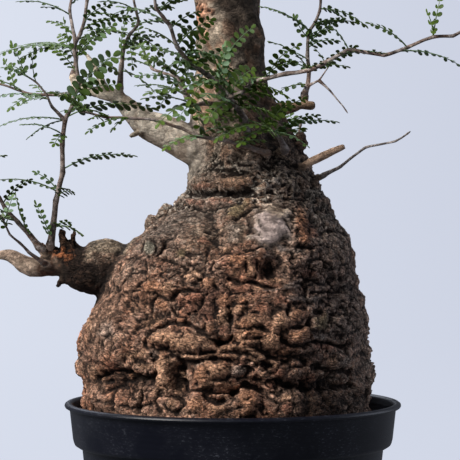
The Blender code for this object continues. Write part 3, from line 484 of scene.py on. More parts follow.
# Bark of the caudex and trunk, and of the twigs: stops from the dark to the light parts of each skin
CORK = {
    "brown": [(0.30, linear("#4b362c")), (0.50, linear("#846352")), (0.70, linear("#ad8870"))],
    "rust": [(0.30, linear("#573728")), (0.50, linear("#8c5f49")), (0.70, linear("#b08063"))],
    "ash": [(0.32, linear("#453d36")), (0.50, linear("#766c61")), (0.66, linear("#9a9082"))],
    "bone": [(0.30, linear("#665d51")), (0.50, linear("#8c8377")), (0.68, linear("#aaa194"))],
    "cleft": linear("#1a1310"),
    "flecks": [(0.38, 0.28), (0.5, 0.64), (0.62, 1.0)],
    "seams": 0.85,
}
TWIG = {
    "brown": [(0.30, linear("#4b403b")), (0.50, linear("#6f615a")), (0.70, linear("#948379"))],
    "rust": [(0.30, linear("#4f3c33")), (0.50, linear("#7b6154")), (0.70, linear("#a48873"))],
    "ash": [(0.32, linear("#4c4643")), (0.50, linear("#7f7874")), (0.66, linear("#9c938e"))],
    "bone": [(0.30, linear("#8c7460")), (0.50, linear("#b39a82")), (0.68, linear("#ccb69e"))],
    "cleft": linear("#1b1614"),
    "flecks": [(0.34, 0.5), (0.5, 0.62), (0.66, 0.75)],
    "seams": 0.2,
}


def leaf_material():
    """Waxy leaf: dark green with a soft shine, each frond in a tone of its own, younger tips yellower."""
    made, tree, shader, place = new_material("waxy leaf", 0.42, 1.45)
    tone, fresh = (add(tree, "Attribute", {"attribute_name": mark}).outputs["Fac"]
                   for mark in ("tone", "fresh"))
    mottle = add(tree, "TexNoise", {}, {"Vector": place, "Scale": per_mm(2.5), "Detail": 3.0}).outputs["Fac"]
    mottled = add(tree, "Math", PRODUCT_PLUS, {0: mottle, 1: 0.35, 2: tone}).outputs[0]
    green = add(tree, "ValToRGB", {}, {"Fac": mottled},
                [(0.10, linear("#233a09")), (0.42, linear("#3b5113")), (0.72, linear("#546b30")),
                 (1.0, linear("#738f6f"))]).outputs["Color"]
    body = add(tree, "Mix", BLEND, {0: fresh, 6: green, 7: linear("#74902f")}).outputs[2]
    tree.links.new(body, shader.inputs["Base Color"])
    shader.inputs["Specular IOR Level"].default_value = 0.4
    bump = add(tree, "Bump", {}, {"Height": mottle, "Strength": 0.25, "Distance": 0.2 * MM})
    tree.links.new(bump.outputs["Normal"], shader.inputs["Normal"])
    return made


def pot_material():
    """Black polypropylene, moulded: satin, with faint turning lines, dust and dried water marks."""
    made, tree, shader, place = new_material("moulded black polypropylene", 0.4, 1.49)
    stretch = add(tree, "Mapping", {}, {"Vector": place, "Scale": (1.0, 1.0, 3.0)}).outputs["Vector"]
    cloud = add(tree, "TexNoise", {}, {"Vector": place, "Scale": per_mm(28.0), "Detail": 5.0,
                                       "Roughness": 0.6}).outputs["Fac"]
    fleck = add(tree, "TexNoise", {}, {"Vector": stretch, "Scale": per_mm(2.2), "Detail": 5.0,
                                       "Roughness": 0.75}).outputs["Fac"]
    haze = add(tree, "ValToRGB", {}, {"Fac": cloud}, [(0.40, 0.0), (0.66, 1.0)]).outputs["Color"]
    flecks = add(tree, "ValToRGB", {}, {"Fac": fleck}, [(0.56, 0.0), (0.68, 1.0)]).outputs["Color"]
    dust = add(tree, "Math", PRODUCT, {0: flecks, 1: haze}).outputs[0]
    veil = add(tree, "Math", PRODUCT, {0: haze, 1: 0.03}).outputs[0]
    dusty = add(tree, "Math", PRODUCT_PLUS_CLAMPED, {0: dust, 1: 0.45, 2: veil}).outputs[0]
    body = add(tree, "Mix", BLEND, {0: dusty, 6: linear("#0c0e1a"), 7: linear("#9094a0")}).outputs[2]
    tree.links.new(body, shader.inputs["Base Color"])
    shader.inputs["Specular IOR Level"].default_value = 0.3
    rough = add(tree, "Math", PRODUCT_PLUS_CLAMPED, {0: dusty, 1: 0.6, 2: 0.36}).outputs[0]
    tree.links.new(rough, shader.inputs["Roughness"])
    lines = add(tree, "TexWave", {"wave_type": "BANDS", "bands_direction": "Z"},
                {"Vector": place, "Scale": per_mm(9.0), "Distortion": 1.5, "Detail": 2.0}).outputs["Fac"]
    relief = add(tree, "Math", PRODUCT_PLUS, {0: fleck, 1: 1.2, 2: lines}).outputs[0]
    bump = add(tree, "Bump", {}, {"Height": relief, "Strength": 0.18, "Distance": 0.25 * MM})
    tree.links.new(bump.outputs["Normal"], shader.inputs["Normal"])
    return made


def soil_material(name, dark, light, grit):
    """Dry potting mix: matt grains of bark, pumice and baked clay, each grain in a colour of its own."""
    made, tree, shader, place = new_material(name, 0.95)
    cell = add(tree, "TexVoronoi", {}, {"Vector": place, "Scale": per_mm(grit)}).outputs["Color"]
    value = add(tree, "SeparateColor", {}, {"Color": cell}).outputs[0]
    stops = [(0.0, dark), (0.65, light), (1.0, linear("#a8907a"))]
    body = add(tree, "ValToRGB", {}, {"Fac": value}, stops)
    tree.links.new(body.outputs["Color"], shader.inputs["Base Color"])
    fine = add(tree, "TexNoise", {}, {"Vector": place, "Scale": per_mm(0.9), "Detail": 4.0}).outputs["Fac"]
    bump = add(tree, "Bump", {}, {"Height": fine, "Strength": 0.8, "Distance": 0.5 * MM})
    tree.links.new(bump.outputs["Normal"], shader.inputs["Normal"])
    shader.inputs["Specular IOR Level"].default_value = 0.2
    return made


# Meshes

def deselect():
    """Leave nothing selected, so that an operator acts only on what is picked next."""
    for item in bpy.context.view_layer.objects:
        item.select_set(False)


def pick(*pieces):
    """Select just these pieces, the first one active."""
    deselect()
    for piece in pieces:
        piece.select_set(True)
    bpy.context.view_layer.objects.active = pieces[0]


def new_object(name, data):
    """Put a mesh, curve, light or camera into the scene."""
    made = bpy.data.objects.new(name, data)
    bpy.context.scene.collection.objects.link(made)
    return made


def clean_mesh(piece, fill=False):
    """Merge a piece's double points, fill its holes if asked and turn its faces outwards."""
    pick(piece)
    bpy.ops.object.mode_set(mode="EDIT")
    bpy.ops.mesh.select_all(action="SELECT")
    bpy.ops.mesh.remove_doubles(threshold=MERGE)
    if fill:
        bpy.ops.mesh.fill_holes(sides=0)
    bpy.ops.mesh.normals_make_consistent(inside=False)
    bpy.ops.object.mode_set(mode="OBJECT")


def apply_all(piece):
    """Apply a piece's modifiers in their order."""
    pick(piece)
    for modifier in list(piece.modifiers):
        bpy.ops.object.modifier_apply(modifier=modifier.name)
    return piece


def settle(piece, name, material, slot, *nodes):
    """Name a finished piece, put its place into its mesh, dress it and let it ride on the plant."""
    pick(piece)
    bpy.ops.object.transform_apply(location=True, rotation=True, scale=True)
    piece.name = name
    piece.data.name = name
    piece.data.materials.clear()
    piece.data.materials.append(material)
    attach(piece, BODY)
    if nodes:
        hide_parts(*nodes)
    return piece


def curve_point(p0, p1, p2, p3, t):
    """A point between p1 and p2 on a smooth curve through all four, for numbers or vectors."""
    return p1 + 0.5 * t * ((p2 - p0) + t * ((2 * p0 - 5 * p1 + 4 * p2 - p3) + t * (3 * (p1 - p2) + p3 - p0)))


def smooth_route(points, values, spacing, ease=1.0):
    """A curve through points, with a value for each, about spacing apart: straight between them at ease 0."""
    route = []
    last = len(points) - 1
    for place in range(last):
        p0, p1 = points[max(place - 1, 0)], points[place]
        p2, p3 = points[place + 1], points[min(place + 2, last)]
        count = max(2, round((p2 - p1).length / spacing))
        for step in range(count):
            t = step / count
            at = p1.lerp(p2, t).lerp(curve_point(p0, p1, p2, p3, t), ease)
            route.append((at, values[place] * (1 - t) + values[place + 1] * t))
    route.append((points[last], values[last]))
    return route


def limb_curve(name, route, sides):
    """A curve of one poly spline, as thick at each point as its value, with its ends filled; made a mesh."""
    shape = bpy.data.curves.new(name, "CURVE")
    shape.dimensions = "3D"
    shape.bevel_depth = 1.0
    shape.bevel_resolution = sides
    shape.use_fill_caps = True
    line = shape.splines.new("POLY")
    line.points.add(len(route) - 1)
    for point, (at, radius) in zip(line.points, route):
        point.co = (*at, 1.0)
        point.radius = radius
    pick(new_object(name, shape))
    bpy.ops.object.convert(target="MESH")
    return bpy.context.view_layer.objects.active


def between(values, where):
    """The value at a fractional place along a list."""
    low = max(0, min(int(where), len(values) - 2))
    part = where - low
    return values[low] * (1.0 - part) + values[low + 1] * part


# The pot

def turned_profile():
    """The pot's closed outline, outside from the underside's middle up to the lip and down the inside."""
    band_foot = POT_HEIGHT - BAND_HEIGHT
    wall_top = RIM_RADIUS - 9.4 * MM
    floor_top = FLOOR_RISE + POT_WALL
    rim, top = RIM_RADIUS, POT_HEIGHT
    outside = [
        (0.0, 0.0), (PAD_RADIUS, 0.0), (PAD_RADIUS + 2 * MM, FLOOR_RISE), (FOOT_RADIUS - 8 * MM, FLOOR_RISE),
        (FOOT_RADIUS - 6 * MM, 0.0), (FOOT_RADIUS - 1.5 * MM, 0.0), (FOOT_RADIUS - 0.3 * MM, 0.6 * MM),
        (FOOT_RADIUS, 2 * MM), (wall_top, band_foot - 0.5 * MM), (wall_top + 0.5 * MM, band_foot + 0.2 * MM),
        (rim - 6.6 * MM, band_foot + 0.6 * MM), (rim - 5.4 * MM, band_foot + 1.4 * MM),
        (rim - 4.9 * MM, band_foot + 2.6 * MM), (rim - 4.5 * MM, band_foot + 4.2 * MM),
        (rim - 2.7 * MM, top - 3.2 * MM), (rim - 2.4 * MM, top - 2.8 * MM),
    ]
    lip_middle = (rim - 2.1 * MM, top - 1.5 * MM)
    lip = []
    for step in range(9):
        angle = math.radians(-65.0 + 245.0 * step / 8)
        lip.append((lip_middle[0] + 2.1 * MM * math.cos(angle), lip_middle[1] + 1.5 * MM * math.sin(angle)))
    inside = [
        (rim - 4.6 * MM, top - 5.0 * MM), (rim - 4.5 * MM - POT_WALL, band_foot + 4.4 * MM),
        (rim - 7.4 * MM, band_foot + 2.4 * MM), (wall_top - POT_WALL, band_foot + 1.4 * MM),
        (FOOT_RADIUS - 1.5 * MM - POT_WALL * 0.2, floor_top + 1.5 * MM), (FOOT_RADIUS - 3.5 * MM, floor_top),
        (0.0, floor_top),
    ]
    return outside + lip + inside


def make_pot():
    """Turn the pot's outline with a Screw, drill its drains and merge what the cuts leave double."""
    deselect()
    profile = turned_profile()
    mesh = bpy.data.meshes.new("pot_outline")
    mesh.from_pydata([(radius, 0.0, height) for radius, height in reversed(profile)],
                     [(place, place + 1) for place in range(len(profile) - 1)], [])
    pot = new_object("nursery_pot", mesh)
    screw = pot.modifiers.new("turn", "SCREW")
    screw.axis = "Z"
    screw.steps = screw.render_steps = TURN_STEPS
    screw.use_merge_vertices = True
    screw.merge_threshold = MERGE
    apply_all(pot)
    clean_mesh(pot)
    for number in range(DRAINS):
        angle = math.tau * number / DRAINS
        place = (DRAIN_CIRCLE * math.cos(angle), DRAIN_CIRCLE * math.sin(angle), FLOOR_RISE)
        deselect()
        bpy.ops.mesh.primitive_cylinder_add(vertices=32, radius=DRAIN_RADIUS, depth=DRILL_DEPTH,
                                            location=place)
        drill = bpy.context.view_layer.objects.active
        cut = pot.modifiers.new("drain", "BOOLEAN")
        cut.operation = "DIFFERENCE"
        cut.object = drill
        apply_all(pot)
        bpy.data.objects.remove(drill)
    clean_mesh(pot)
    pot.data.shade_smooth()
    pot.data.set_sharp_from_angle(angle=math.radians(38.0))
    return settle(pot, "nursery_pot", pot_material(), "pot_plastic", "pot")


def make_grains(rng):
    """Loose grit on the soil round the caudex, each grain a small dented stone."""
    deselect()
    bpy.ops.mesh.primitive_ico_sphere_add(subdivisions=1, radius=1.0)
    stone = bpy.context.view_layer.objects.active
    corners = np.array([tuple(vertex.co) for vertex in stone.data.vertices])
    faces = [tuple(face.vertices) for face in stone.data.polygons]
    bpy.data.objects.remove(stone)
    points, polygons = [], []
    for _ in range(GRAINS):
        angle = rng.uniform(0.0, math.tau)
        radius = math.sqrt(rng.uniform(SOIL_INNER ** 2, SOIL_OUTER ** 2))
        size = rng.uniform(0.7, 1.0) ** 2 * GRAIN_SIZE * MM
        height = SOIL_TOP + rng.uniform(-0.2, 0.9) * MM
        place = Vector((radius * math.cos(angle), radius * math.sin(angle), height))
        roll = rng.uniform(0, math.tau)
        turn = Matrix.Rotation(roll, 3, Vector((rng.gauss(0, 1), rng.gauss(0, 1), 1)).normalized())
        stretch = np.array([rng.uniform(0.6, 1.2), rng.uniform(0.6, 1.0), rng.uniform(0.5, 0.9)]) * size
        dents = np.array([rng.uniform(0.75, 1.15) for _ in corners])[:, None]
        grain = (corners * dents * stretch) @ np.array(turn).T + np.array(place)
        start = len(points)
        points.extend(map(tuple, grain))
        polygons.extend(tuple(start + corner for corner in face) for face in faces)
    mesh = bpy.data.meshes.new("soil_grit")
    mesh.from_pydata(points, [], polygons)
    material = soil_material("potting grit", linear("#2c211b"), linear("#75604e"), 3.0)
    return settle(new_object("soil_grit", mesh), "soil_grit", material, "potting_mix")


# The wood

def outline_edges(height):
    """Left and right edge of the outline at a height, on a smooth curve through its rows."""
    place = 0
    while place < len(OUTLINE) - 2 and height > OUTLINE[place + 1][0] * MM:
        place += 1
    low = OUTLINE[place][0] * MM
    span = OUTLINE[place + 1][0] * MM - low
    t = min(max((height - low) / span, 0.0), 1.0)
    rows = [OUTLINE[min(max(place + step, 0), len(OUTLINE) - 1)] for step in (-1, 0, 1, 2)]
    return [curve_point(*(row[column] for row in rows), t) * MM for column in (1, 2)]


def wood_point(angle, height):
    """A point of the caudex and trunk before its bark is carved."""
    if height <= BURIED_TOP:
        radius = BURIED_TOP_RADIUS - BURIED_SLOPE * (BURIED_TOP - height)
        left, right = -radius, radius
    else:
        left, right = outline_edges(height)
    middle = (left + right) / 2
    wide = (right - left) / 2
    blend = min(max((height - BURIED_TOP) / (30 * MM), 0.0), 1.0)
    deep = wide * (1.0 - 0.05 * blend)
    lobes = 1.0 + 0.045 * blend * math.sin(angle) ** 2 * math.sin(3.0 * angle + height / (45.0 * MM))
    back = 3.0 * MM * blend
    return (middle + wide * math.cos(angle) * lobes, back + deep * math.sin(angle) * lobes, height)


def wood_blank():
    """Caudex, trunk, limbs, stubs and collars in one even skin, before the bark is carved."""
    deselect()
    bpy.ops.mesh.primitive_grid_add(x_subdivisions=96, y_subdivisions=190, size=1.0)
    body = bpy.context.view_layer.objects.active
    low, high = WOOD_CUT - 6.0 * MM, TRUNK_TOP
    for vertex in body.data.vertices:
        angle = math.tau * (vertex.co.x + 0.5)
        vertex.co = wood_point(angle, low + (high - low) * (vertex.co.y + 0.5))
    clean_mesh(body, fill=True)
    parts = [body]
    for name, (points, radii) in LIMBS.items():
        route = smooth_route([mm(*point) for point in points], [radius * MM for radius in radii], 3.0 * MM)
        parts.append(limb_curve(name, route, 6))
    for name, shoot in SHOOTS.items():
        foot = shoot.twigs[0][0]
        parts.append(limb_curve(name, [(shoot.root, shoot.thick * 1.5), (foot, shoot.thick * 1.2)], 4))
    pick(*parts)
    bpy.ops.object.join()
    remesh = body.modifiers.new("skin", "REMESH")
    remesh.mode = "VOXEL"
    remesh.voxel_size = WOOD_VOXEL * MM
    smooth = body.modifiers.new("soften", "SMOOTH")
    smooth.factor = 0.5
    smooth.iterations = 6
    apply_all(body)
    return body


def step_up(low, high, value):
    """0 below low, 1 above high and smooth between, for numbers or arrays; high may be under low."""
    t = np.clip((value - low) / (high - low), 0.0, 1.0)
    return t * t * (3.0 - 2.0 * t)


def to_segment(places, start, end):
    """How far along a segment each place is, from 0 to 1, and how far from it."""
    along = end - start
    t = np.clip(((places - start) @ along) / (along @ along), 0.0, 1.0)
    return t, np.linalg.norm(places - start - t[:, None] * along, axis=1)


def near_line(places, line, width):
    """How close each place is to a line drawn on the front of the wood: 1 on it, 0 at its width away."""
    flat = places[:, (0, 2)]
    best = np.full(len(places), np.inf)
    points = np.array(line, float)
    for start, end in zip(points, points[1:]):
        best = np.minimum(best, to_segment(flat, start, end)[1])
    return (1.0 - step_up(0.0, 1.0, best / width)) * step_up(-4.0, -14.0, places[:, 1])


def near_limb(places, names, reach):
    """How far each place belongs to the named limbs: 1 in their cores, 0 beyond reach times their radius."""
    mark = np.zeros(len(places))
    for name in names:
        points, radii = LIMBS[name]
        points = np.array(points, float)
        for place in range(len(points) - 1):
            t, gap = to_segment(places, points[place], points[place + 1])
            radius = radii[place] * (1 - t) + radii[place + 1] * t
            mark = np.maximum(mark, 1.0 - step_up(reach * 0.75, reach, gap / radius))
    return mark


WOOD_VOXEL = 0.85               # millimetres between points while the bark is carved
WOOD_TRIANGLES = 190000
SMALL_ROUNDS = 6                # rounds of smoothing that level the small hollows
BROAD_ROUNDS = 20               # and the broad ones
PALE_LIMBS = ("upper_left_limb", "limb_cut_stub", "limb_broken_stub", "left_branch_cut", "right_broken_stub")
SPLINTERS = ("left_splinter_low", "left_splinter_high", "left_splinter_web", "left_branch_nub")
ROUGH_LIMBS = ("left_branch", "right_stub", *SPLINTERS)

# Marks on the caudex's front, as (x, z) in millimetres seen from -Y
# Lumps: tone, middle, half width, half height, turn in degrees, height
LUMPS = [
    ("plain", -60.5, 202.2, 6.2, 7.7, 0, 0.9), ("ash", -64.0, 189.5, 6.7, 4.6, 10, 1.2),
    ("tan", -73.5, 192.2, 3.1, 4.2, 0, 1.8), ("plain", -77.7, 185.5, 3.2, 4.2, 0, 1.8),
    ("plain", -77.8, 175.3, 3.7, 4.7, 0, 1.6), ("tan", -74.2, 168.5, 3.6, 4.7, 0, 1.8),
    ("tan", -27.3, 185.4, 17.0, 4.2, -7, 3.4), ("tan", -36.4, 185.2, 6.5, 3.5, 25, 1),
    ("orange", -17.8, 184.6, 8.5, 3.0, -14, 1.6), ("tan", -32.3, 173.9, 6.5, 7.0, 0, 2.4),
    ("tan", -33.3, 163.9, 7.5, 5.5, 0, 2.4), ("ash", -39.5, 179.2, 4.0, 2.5, 10, 1.4),
    ("tan", -49.3, 178.8, 8.6, 2.1, 4, 1.9), ("plain", -63.8, 181.9, 7.7, 2.8, 0, 1),
    ("tan", -46.6, 172.9, 6.0, 1.8, 4, 1.5), ("orange", -52.4, 169.0, 4.5, 1.6, 20, 1.6),
    ("rust", -62.6, 172.9, 4.1, 2.6, 0, 1.1), ("tan", -7.3, 172.3, 6.0, 4.5, 15, 3),
    ("orange", -15.8, 169.3, 4.5, 4.5, 0, 2.4), ("ash", -17.8, 174.2, 3.5, 2.0, 10, 1.4),
    ("orange", -3.3, 164.4, 6.9, 2.5, 6, 2), ("tan", -12.8, 164.3, 4.0, 3.0, 0, 1.6),
    ("plain", -72.4, 159.9, 4.1, 2.6, 0, 1.4), ("plain", -58.3, 158.5, 4.6, 3.0, 0, 1.5),
    ("plain", -43.6, 162.5, 5.5, 1.5, 0, 1.2), ("tan", -30.3, 155.1, 3.5, 3.0, 20, 2.4),
    ("plain", -40.4, 158.1, 3.0, 2.5, 0, 1.4), ("orange", -18.7, 154.9, 6.5, 4.0, 0, 2.2),
    ("tan", -8.3, 153.6, 4.5, 3.0, 0, 1.8), ("plain", -53.0, 154.8, 5.1, 3.0, 0, 1.2),
    ("orange", 7.6, 156.5, 6.7, 6.4, 0, 3.8), ("orange", 3.6, 151.1, 4.5, 2.5, 0, 2),
    ("rust", 15.5, 154.9, 2.5, 4.0, 0, 1), ("ash", 2.1, 171.3, 4.5, 3.0, 0, 2.2),
    ("rust", 0.1, 165.9, 4.0, 2.0, 0, 1.4), ("rust", 3.1, 176.3, 4.5, 2.2, 0, 1.6),
    ("rust", -18.9, 207.7, 3.5, 2.8, 0, 2), ("rust", -25.0, 205.7, 3.8, 3.0, 0, 2),
    ("rust", -20.9, 202.8, 4.0, 2.5, 0, 1.4), ("plain", -30.0, 204.1, 3.0, 2.5, 0, 1),
    ("orange", -39.4, 213.4, 4.1, 3.0, 20, 1.4), ("tan", -31.7, 211.5, 4.0, 3.5, 0, 1.6),
    ("plain", -53.8, 212.5, 5.6, 3.1, 0, 1), ("plain", -45.8, 216.8, 6.6, 3.6, 0, 1.2),
    ("orange", -36.7, 204.0, 4.0, 3.0, 0, 1.4), ("tan", -41.7, 195.9, 8.1, 3.5, 18, 1.8),
    ("orange", -12.3, 192.5, 4.0, 2.5, -5, 1.6), ("rust", -12.3, 197.4, 2.5, 2.5, 0, 0.8),
    ("tan", -5.4, 198.9, 3.2, 4.5, 0, 1.6), ("orange", -4.9, 206.3, 3.5, 3.5, 0, 1.6),
    ("rust", -5.3, 192.0, 2.5, 2.5, 0, 1.2), ("orange", 4.1, 207.3, 4.5, 2.5, 0, 1.5),
    ("tan", 4.1, 201.8, 4.7, 2.7, 0, 1.8), ("tan", 9.6, 197.4, 4.5, 2.5, 0, 1.2),
    ("orange", 4.1, 195.5, 4.0, 2.5, 0, 1.2), ("orange", 10.6, 189.5, 5.2, 2.7, 0, 2),
    ("tan", 4.1, 189.6, 3.2, 2.7, 0, 1.8), ("rust", 14.6, 202.3, 4.0, 3.0, 0, 1.2),
    ("plain", 14.7, 208.2, 5.5, 2.3, 0, 1.2), ("rust", 21.7, 205.7, 4.5, 2.5, 0, 1),
    ("tan", 23.2, 196.2, 4.0, 5.3, 0, 2), ("orange", 31.8, 200.0, 4.5, 3.8, 0, 1.8),
    ("orange", 32.8, 188.6, 7.3, 3.5, 4, 2.4), ("tan", 18.6, 186.4, 6.2, 5.0, 0, 2.2),
    ("orange", 26.1, 180.3, 3.7, 2.7, -20, 1.9), ("rust", 21.6, 180.4, 2.5, 2.0, 0, 0.9),
    ("olive", 44.8, 195.1, 4.3, 4.6, 0, 2.4), ("ash", 43.1, 187.7, 5.6, 2.0, 10, 1.2),
    ("rust", 47.3, 182.5, 7.6, 2.0, -6, 1.2), ("ash", 36.6, 206.9, 9.6, 1.9, 0, 1.2),
    ("dim", 47.6, 204.0, 5.6, 2.3, 0, 1.2), ("dim", 33.9, 202.9, 5.6, 1.8, 0, 1),
    ("tan", 50.9, 175.7, 2.8, 2.8, 0, 1.6), ("dim", 44.1, 176.7, 3.5, 2.5, 0, 1.3),
    ("ash", 57.4, 174.8, 2.8, 2.8, 0, 1.3), ("dim", 37.3, 177.5, 3.5, 2.3, 0, 1.2),
    ("tan", 15.5, 169.7, 2.5, 2.5, 30, 1.8), ("rust", 23.1, 170.0, 4.0, 2.5, 0, 1.3),
    ("rust", 18.5, 164.2, 3.5, 2.5, 0, 1.4), ("tan", 28.1, 158.5, 4.0, 1.7, 15, 1.6),
    ("rust", 26.5, 152.6, 3.0, 3.0, 0, 1.6), ("rust", 39.3, 166.9, 5.5, 1.8, 8, 1.4),
    ("plain", 65.7, 160.2, 4.1, 4.6, 0, 1.6), ("tan", 2.7, 266.3, 11.0, 3.4, 14, 4.0),
    ("rust", -14.5, 263.8, 5.2, 2.4, 0, 2.6), ("rust", -12.0, 256.8, 13.0, 3.2, 3, 3.0),
    ("tan", 15.2, 262.6, 3.6, 2.6, 25, 3.2),
    ("olive", 2.2, 251.6, 5.0, 2.8, 14, 3.4), ("olive", 8.4, 256.3, 4.4, 3.4, 40, 3.4),
    ("tan", 13.0, 255.7, 3.1, 2.1, 20, 1.5), ("olive", 15.2, 262.5, 2.6, 2.1, 0, 1.2),
    ("ash", 0.6, 241.3, 3.4, 5.6, 0, 0.7), ("lilac", 18.4, 243.3, 7.2, 7.0, 0, 1.0),
    ("bone", 22.3, 251.1, 5.7, 4.1, 0, 1.2), ("rustpatch", 35.2, 244.9, 4.4, 10.8, 0, 2),
    ("rust", 42.0, 240.8, 3.4, 4.7, 0, 1.5), ("ash", 33.8, 231.6, 3.1, 2.3, 0, 1.3),
    ("dim", 40.6, 229.5, 3.6, 2.6, 0, 1.4), ("plain", -32.0, 228.5, 6.6, 2.5, -22, 1.6),
    ("olive", -26.3, 229.6, 3.6, 2.5, 10, 1.3), ("tan", -20.0, 219.1, 6.0, 3.8, 0, 1.5),
    ("orange", -12.4, 215.2, 4.5, 3.0, 0, 1.1), ("tan", 8.7, 222.2, 2.8, 4.6, 12, 1.7),
    ("orange", 4.2, 225.2, 2.6, 3.2, -20, 1.6), ("orange", 0.1, 227.2, 2.8, 2.8, 0, 1.5),
    ("rust", -3.4, 224.7, 2.5, 3.0, 0, 1.5), ("tan", 1.1, 220.2, 2.4, 2.5, 0, 1.4),
    ("rustpatch", 14.8, 228.7, 2.3, 3.8, 0, 1.8), ("tan", -2.4, 231.7, 4.0, 2.0, 15, 1),
    ("tan", 21.8, 216.6, 4.5, 1.5, 0, 1.3), ("rust", 3.6, 212.2, 6.0, 2.5, 0, 1.2),
    ("tan", 12.7, 213.2, 3.5, 2.5, 0, 1), ("rust", -15.1, 236.7, 3.1, 2.0, 0, 0.8),
    ("plain", -40.4, 250.9, 3.7, 2.7, 25, 1.5), ("dim", 25.4, 220.1, 3.0, 3.5, 0, 0.9),
    ("dim", 51.7, 220.1, 6.2, 3.1, 10, 1.2), ("dim", 44.6, 213.7, 7.2, 2.6, 0, 1.1),
    ("dim", 55.3, 205.7, 5.7, 3.1, -10, 1.2), ("rust", 39.4, 220.4, 5.1, 3.1, 0, 1.2),
    ("dim", 53.5, 236.6, 6.3, 3.7, 20, 1.2), ("dim", 51.3, 247.1, 5.3, 3.2, -20, 1.2),
    ("dim", 57.1, 192.5, 4.6, 4.1, 0, 1.2), ("dim", 63.2, 182.4, 3.6, 4.7, 0, 1.2),
]
# Ridges: tone, half width, height, route
RIDGES = [
    ("tan", 0.9, 2.1, [(-25.3, 178.3), (-16.3, 178.2), (-9.8, 179.7), (1.6, 178.7)]),
    ("tan", 1.5, 2.6,
     [(-8.3, 181.7), (-2.4, 183.4), (4.1, 183.6), (9.6, 181.4), (14.6, 178.1), (21.6, 174.0)]),
    ("tan", 1.0, 1.8, [(8.6, 178.2), (12.6, 176.2), (18.5, 172.1)]),
    ("tan", 0.9, 1.4, [(14.6, 186.5), (7.6, 185.6), (2.6, 186.4)]),
    ("plain", 1.0, 1.3, [(-57.3, 180.4), (-46.7, 181.9), (-42.6, 183.5)]),
    ("ash", 0.8, 1.1, [(25.3, 213.6), (30.0, 215.0), (35.2, 216.9)]),
    ("ash", 0.8, 1.1, [(14.7, 211.2), (23.8, 212.1), (34.1, 213.9)]),
    ("ash", 0.7, 1.2, [(14.8, 228.1), (17.3, 229.4), (20.4, 228.6)]),
]
